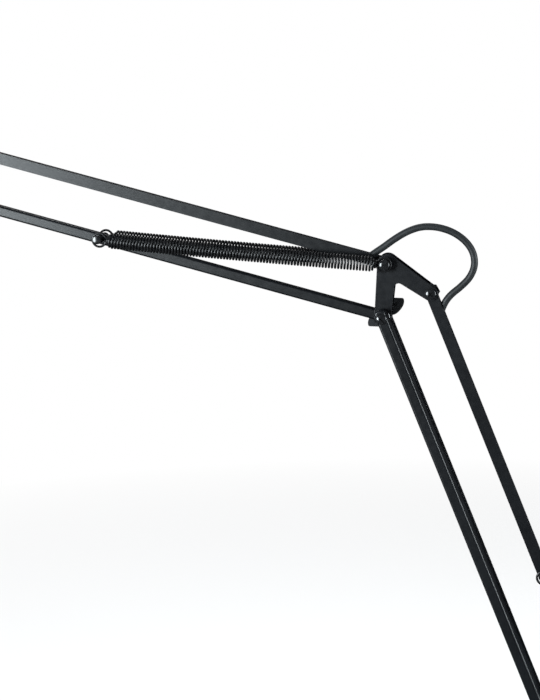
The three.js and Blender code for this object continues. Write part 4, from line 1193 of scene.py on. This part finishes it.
def makeBulb():
    low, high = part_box("bulb")
    neck, globe, wall, pitch = (bulbSetup[k] for k in ("neck", "globe", "wall", "pitch"))
    centre, glassTop = low.z + globe, high.z - 0.024
    shoulder = [(neck, glassTop), (neck, glassTop - 0.004), (neck + 0.0015, glassTop - 0.010),
                (neck + 0.006, glassTop - 0.024), (globe - 0.003, centre + 0.0155)]
    profile = [(p.x, p.z) for p in smoothPath([Vector((r, 0, z)) for r, z in shoulder], 5)]
    profile += roundEdge((0, centre), globe, 22, -90, -7) + [(0, centre - globe)]
    inside = [(max(0.0, r - wall), z + (wall if z < centre else 0)) for r, z in reversed(profile)]
    inside[0] = (0, centre - globe + wall)
    glass = lathe("bulbGlass", profile + inside, (shadeAxis, 0, 0), (0, 0, 1), opal, 96, sharp=50)
    settle(glass, "head", "bulb_glass", "bulb")
    thread = [(0, high.z - 0.0005), (0.006, high.z - 0.0005), (0.009, high.z - 0.0035)]
    z = high.z - 0.004
    while z > glassTop + 0.003:
        thread += [(bulbSetup["thread"], z), (bulbSetup["valley"], z - pitch / 2)]
        z -= pitch
    thread += [(0.0126, glassTop + 0.0012), (0.0126, glassTop + 0.0002), (0, glassTop + 0.0002)]
    cap = lathe("bulbThread", thread, (shadeAxis, 0, 0), (0, 0, 1), brass, 64, sharp=50)
    settle(cap, "head", "bulb_glass")


knobSetup = {"ribs": 24, "ribDepth": 0.045}


def makeKnob():
    low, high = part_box("switch_knob")
    place = middle("switch_knob")
    length = high.x - low.x
    profile = [(0, 0), (0.003, 0), (0.003, 0.002), (0.0072, 0.002), (0.0078, 0.0026), (0.0077, 0.0045),
               (0.0073, length - 0.0014), (0.0068, length - 0.0004), (0.0060, length), (0, length)]

    def ribs(angle, height):
        wave = 0.5 - 0.5 * math.cos(angle * knobSetup["ribs"])
        return 1 - knobSetup["ribDepth"] * wave * (0.0035 < height < length - 0.001)

    knob = lathe("switchKnob", profile, (high.x, 0, place.z), (-1, 0, 0), blackPlastic, 192, radiusAt=ribs,
                 sharp=40)
    mark = boxTool((low.x, 0, place.z + 0.0036), (0.0008, 0.0010, 0.0040))
    carve(knob, mark)
    settle(knob, "switch", "moulded_plastic", "switch_knob")


makeKnuckle()
makeCap()
makeShade()
makeHolder()
makeBulb()
makeKnob()
print("head made")

studio = {"floorRadius": 2.6, "fadeFrom": 0.55, "fadeTo": 1.5, "floorColor": (0.80, 0.80, 0.80), "glow": 1.0,
          "fill": 0.03}


def makeFloor():
    count = 96
    points = [(studio["floorRadius"] * math.cos(2 * math.pi * i / count) - 0.2,
               studio["floorRadius"] * math.sin(2 * math.pi * i / count), -0.0003) for i in range(count)]
    material, tree, shader = newMaterial("studio floor", studio["floorColor"], 0.9)
    place = tree.nodes.new("ShaderNodeTexCoord")
    reach = tree.nodes.new("ShaderNodeVectorMath")
    reach.operation = "LENGTH"
    tree.links.new(place.outputs["Object"], reach.inputs[0])
    fade = spread(tree, reach.outputs["Value"], studio["fadeFrom"], studio["fadeTo"], 0.0, 1.0)
    glow = tree.nodes.new("ShaderNodeEmission")
    glow.inputs["Strength"].default_value = studio["glow"]
    blend = tree.nodes.new("ShaderNodeMixShader")
    tree.links.new(fade, blend.inputs["Fac"])
    tree.links.new(shader.outputs["BSDF"], blend.inputs[1])
    tree.links.new(glow.outputs["Emission"], blend.inputs[2])
    tree.links.new(blend.outputs["Shader"], tree.nodes["Material Output"].inputs["Surface"])
    floor = meshFrom("studioFloor", points, [tuple(range(count))], material)
    floor.visible_glossy = False


def makeWorld():
    # pale to look at, dim as a light, so that the softboxes shape the paint
    world = bpy.data.worlds.new("studio")
    world.use_nodes = True
    tree = world.node_tree
    tree.nodes.clear()
    dim = tree.nodes.new("ShaderNodeBackground")
    dim.inputs["Color"].default_value = (1, 1, 1, 1)
    dim.inputs["Strength"].default_value = studio["fill"]
    pale = tree.nodes.new("ShaderNodeBackground")
    pale.inputs["Color"].default_value = (1, 1, 1, 1)
    pale.inputs["Strength"].default_value = studio["glow"]
    path = tree.nodes.new("ShaderNodeLightPath")
    blend = tree.nodes.new("ShaderNodeMixShader")
    out = tree.nodes.new("ShaderNodeOutputWorld")
    tree.links.new(path.outputs["Is Camera Ray"], blend.inputs["Fac"])
    tree.links.new(dim.outputs["Background"], blend.inputs[1])
    tree.links.new(pale.outputs["Background"], blend.inputs[2])
    tree.links.new(blend.outputs["Shader"], out.inputs["Surface"])
    bpy.context.scene.world = world


lights = {
    "keyLeft": {"place": (-1.72, -1.80, 0.50), "aim": (-0.45, 0, 0.55), "size": (1.0, 1.1), "power": 72,
                "color": (0.88, 0.96, 1.0), "gloss": True},
    "sideRight": {"place": (1.35, -0.30, 0.62), "aim": (-0.15, 0, 0.42), "size": (0.35, 1.1), "power": 20,
                  "color": (0.88, 0.96, 1.0), "gloss": True},
    "overhead": {"place": (-0.2, 0.3, 2.4), "aim": (-0.2, 0, 0), "size": (2.2, 1.6), "power": 64,
                 "color": (1, 1, 1), "gloss": False},
    "back": {"place": (-0.9, 1.5, 2.0), "aim": (-0.3, 0, 0.3), "size": (0.9, 0.5), "power": 6,
             "color": (1, 1, 1), "gloss": True},
}


def makeLights():
    for name, setup in lights.items():
        data = bpy.data.lights.new(name, "AREA")
        data.shape = "RECTANGLE"
        data.size, data.size_y = setup["size"]
        data.energy = setup["power"]
        data.color = setup["color"]
        lamp = bpy.data.objects.new(name, data)
        lamp.location = setup["place"]
        lamp.visible_glossy = setup["gloss"]
        aim = Vector(setup["aim"]) - lamp.location
        lamp.rotation_euler = aim.to_track_quat("-Z", "Y").to_euler()
        bpy.context.scene.collection.objects.link(lamp)


makeFloor()
makeWorld()
makeLights()
bpy.context.scene.view_settings.view_transform = "Standard"
print("studio made")
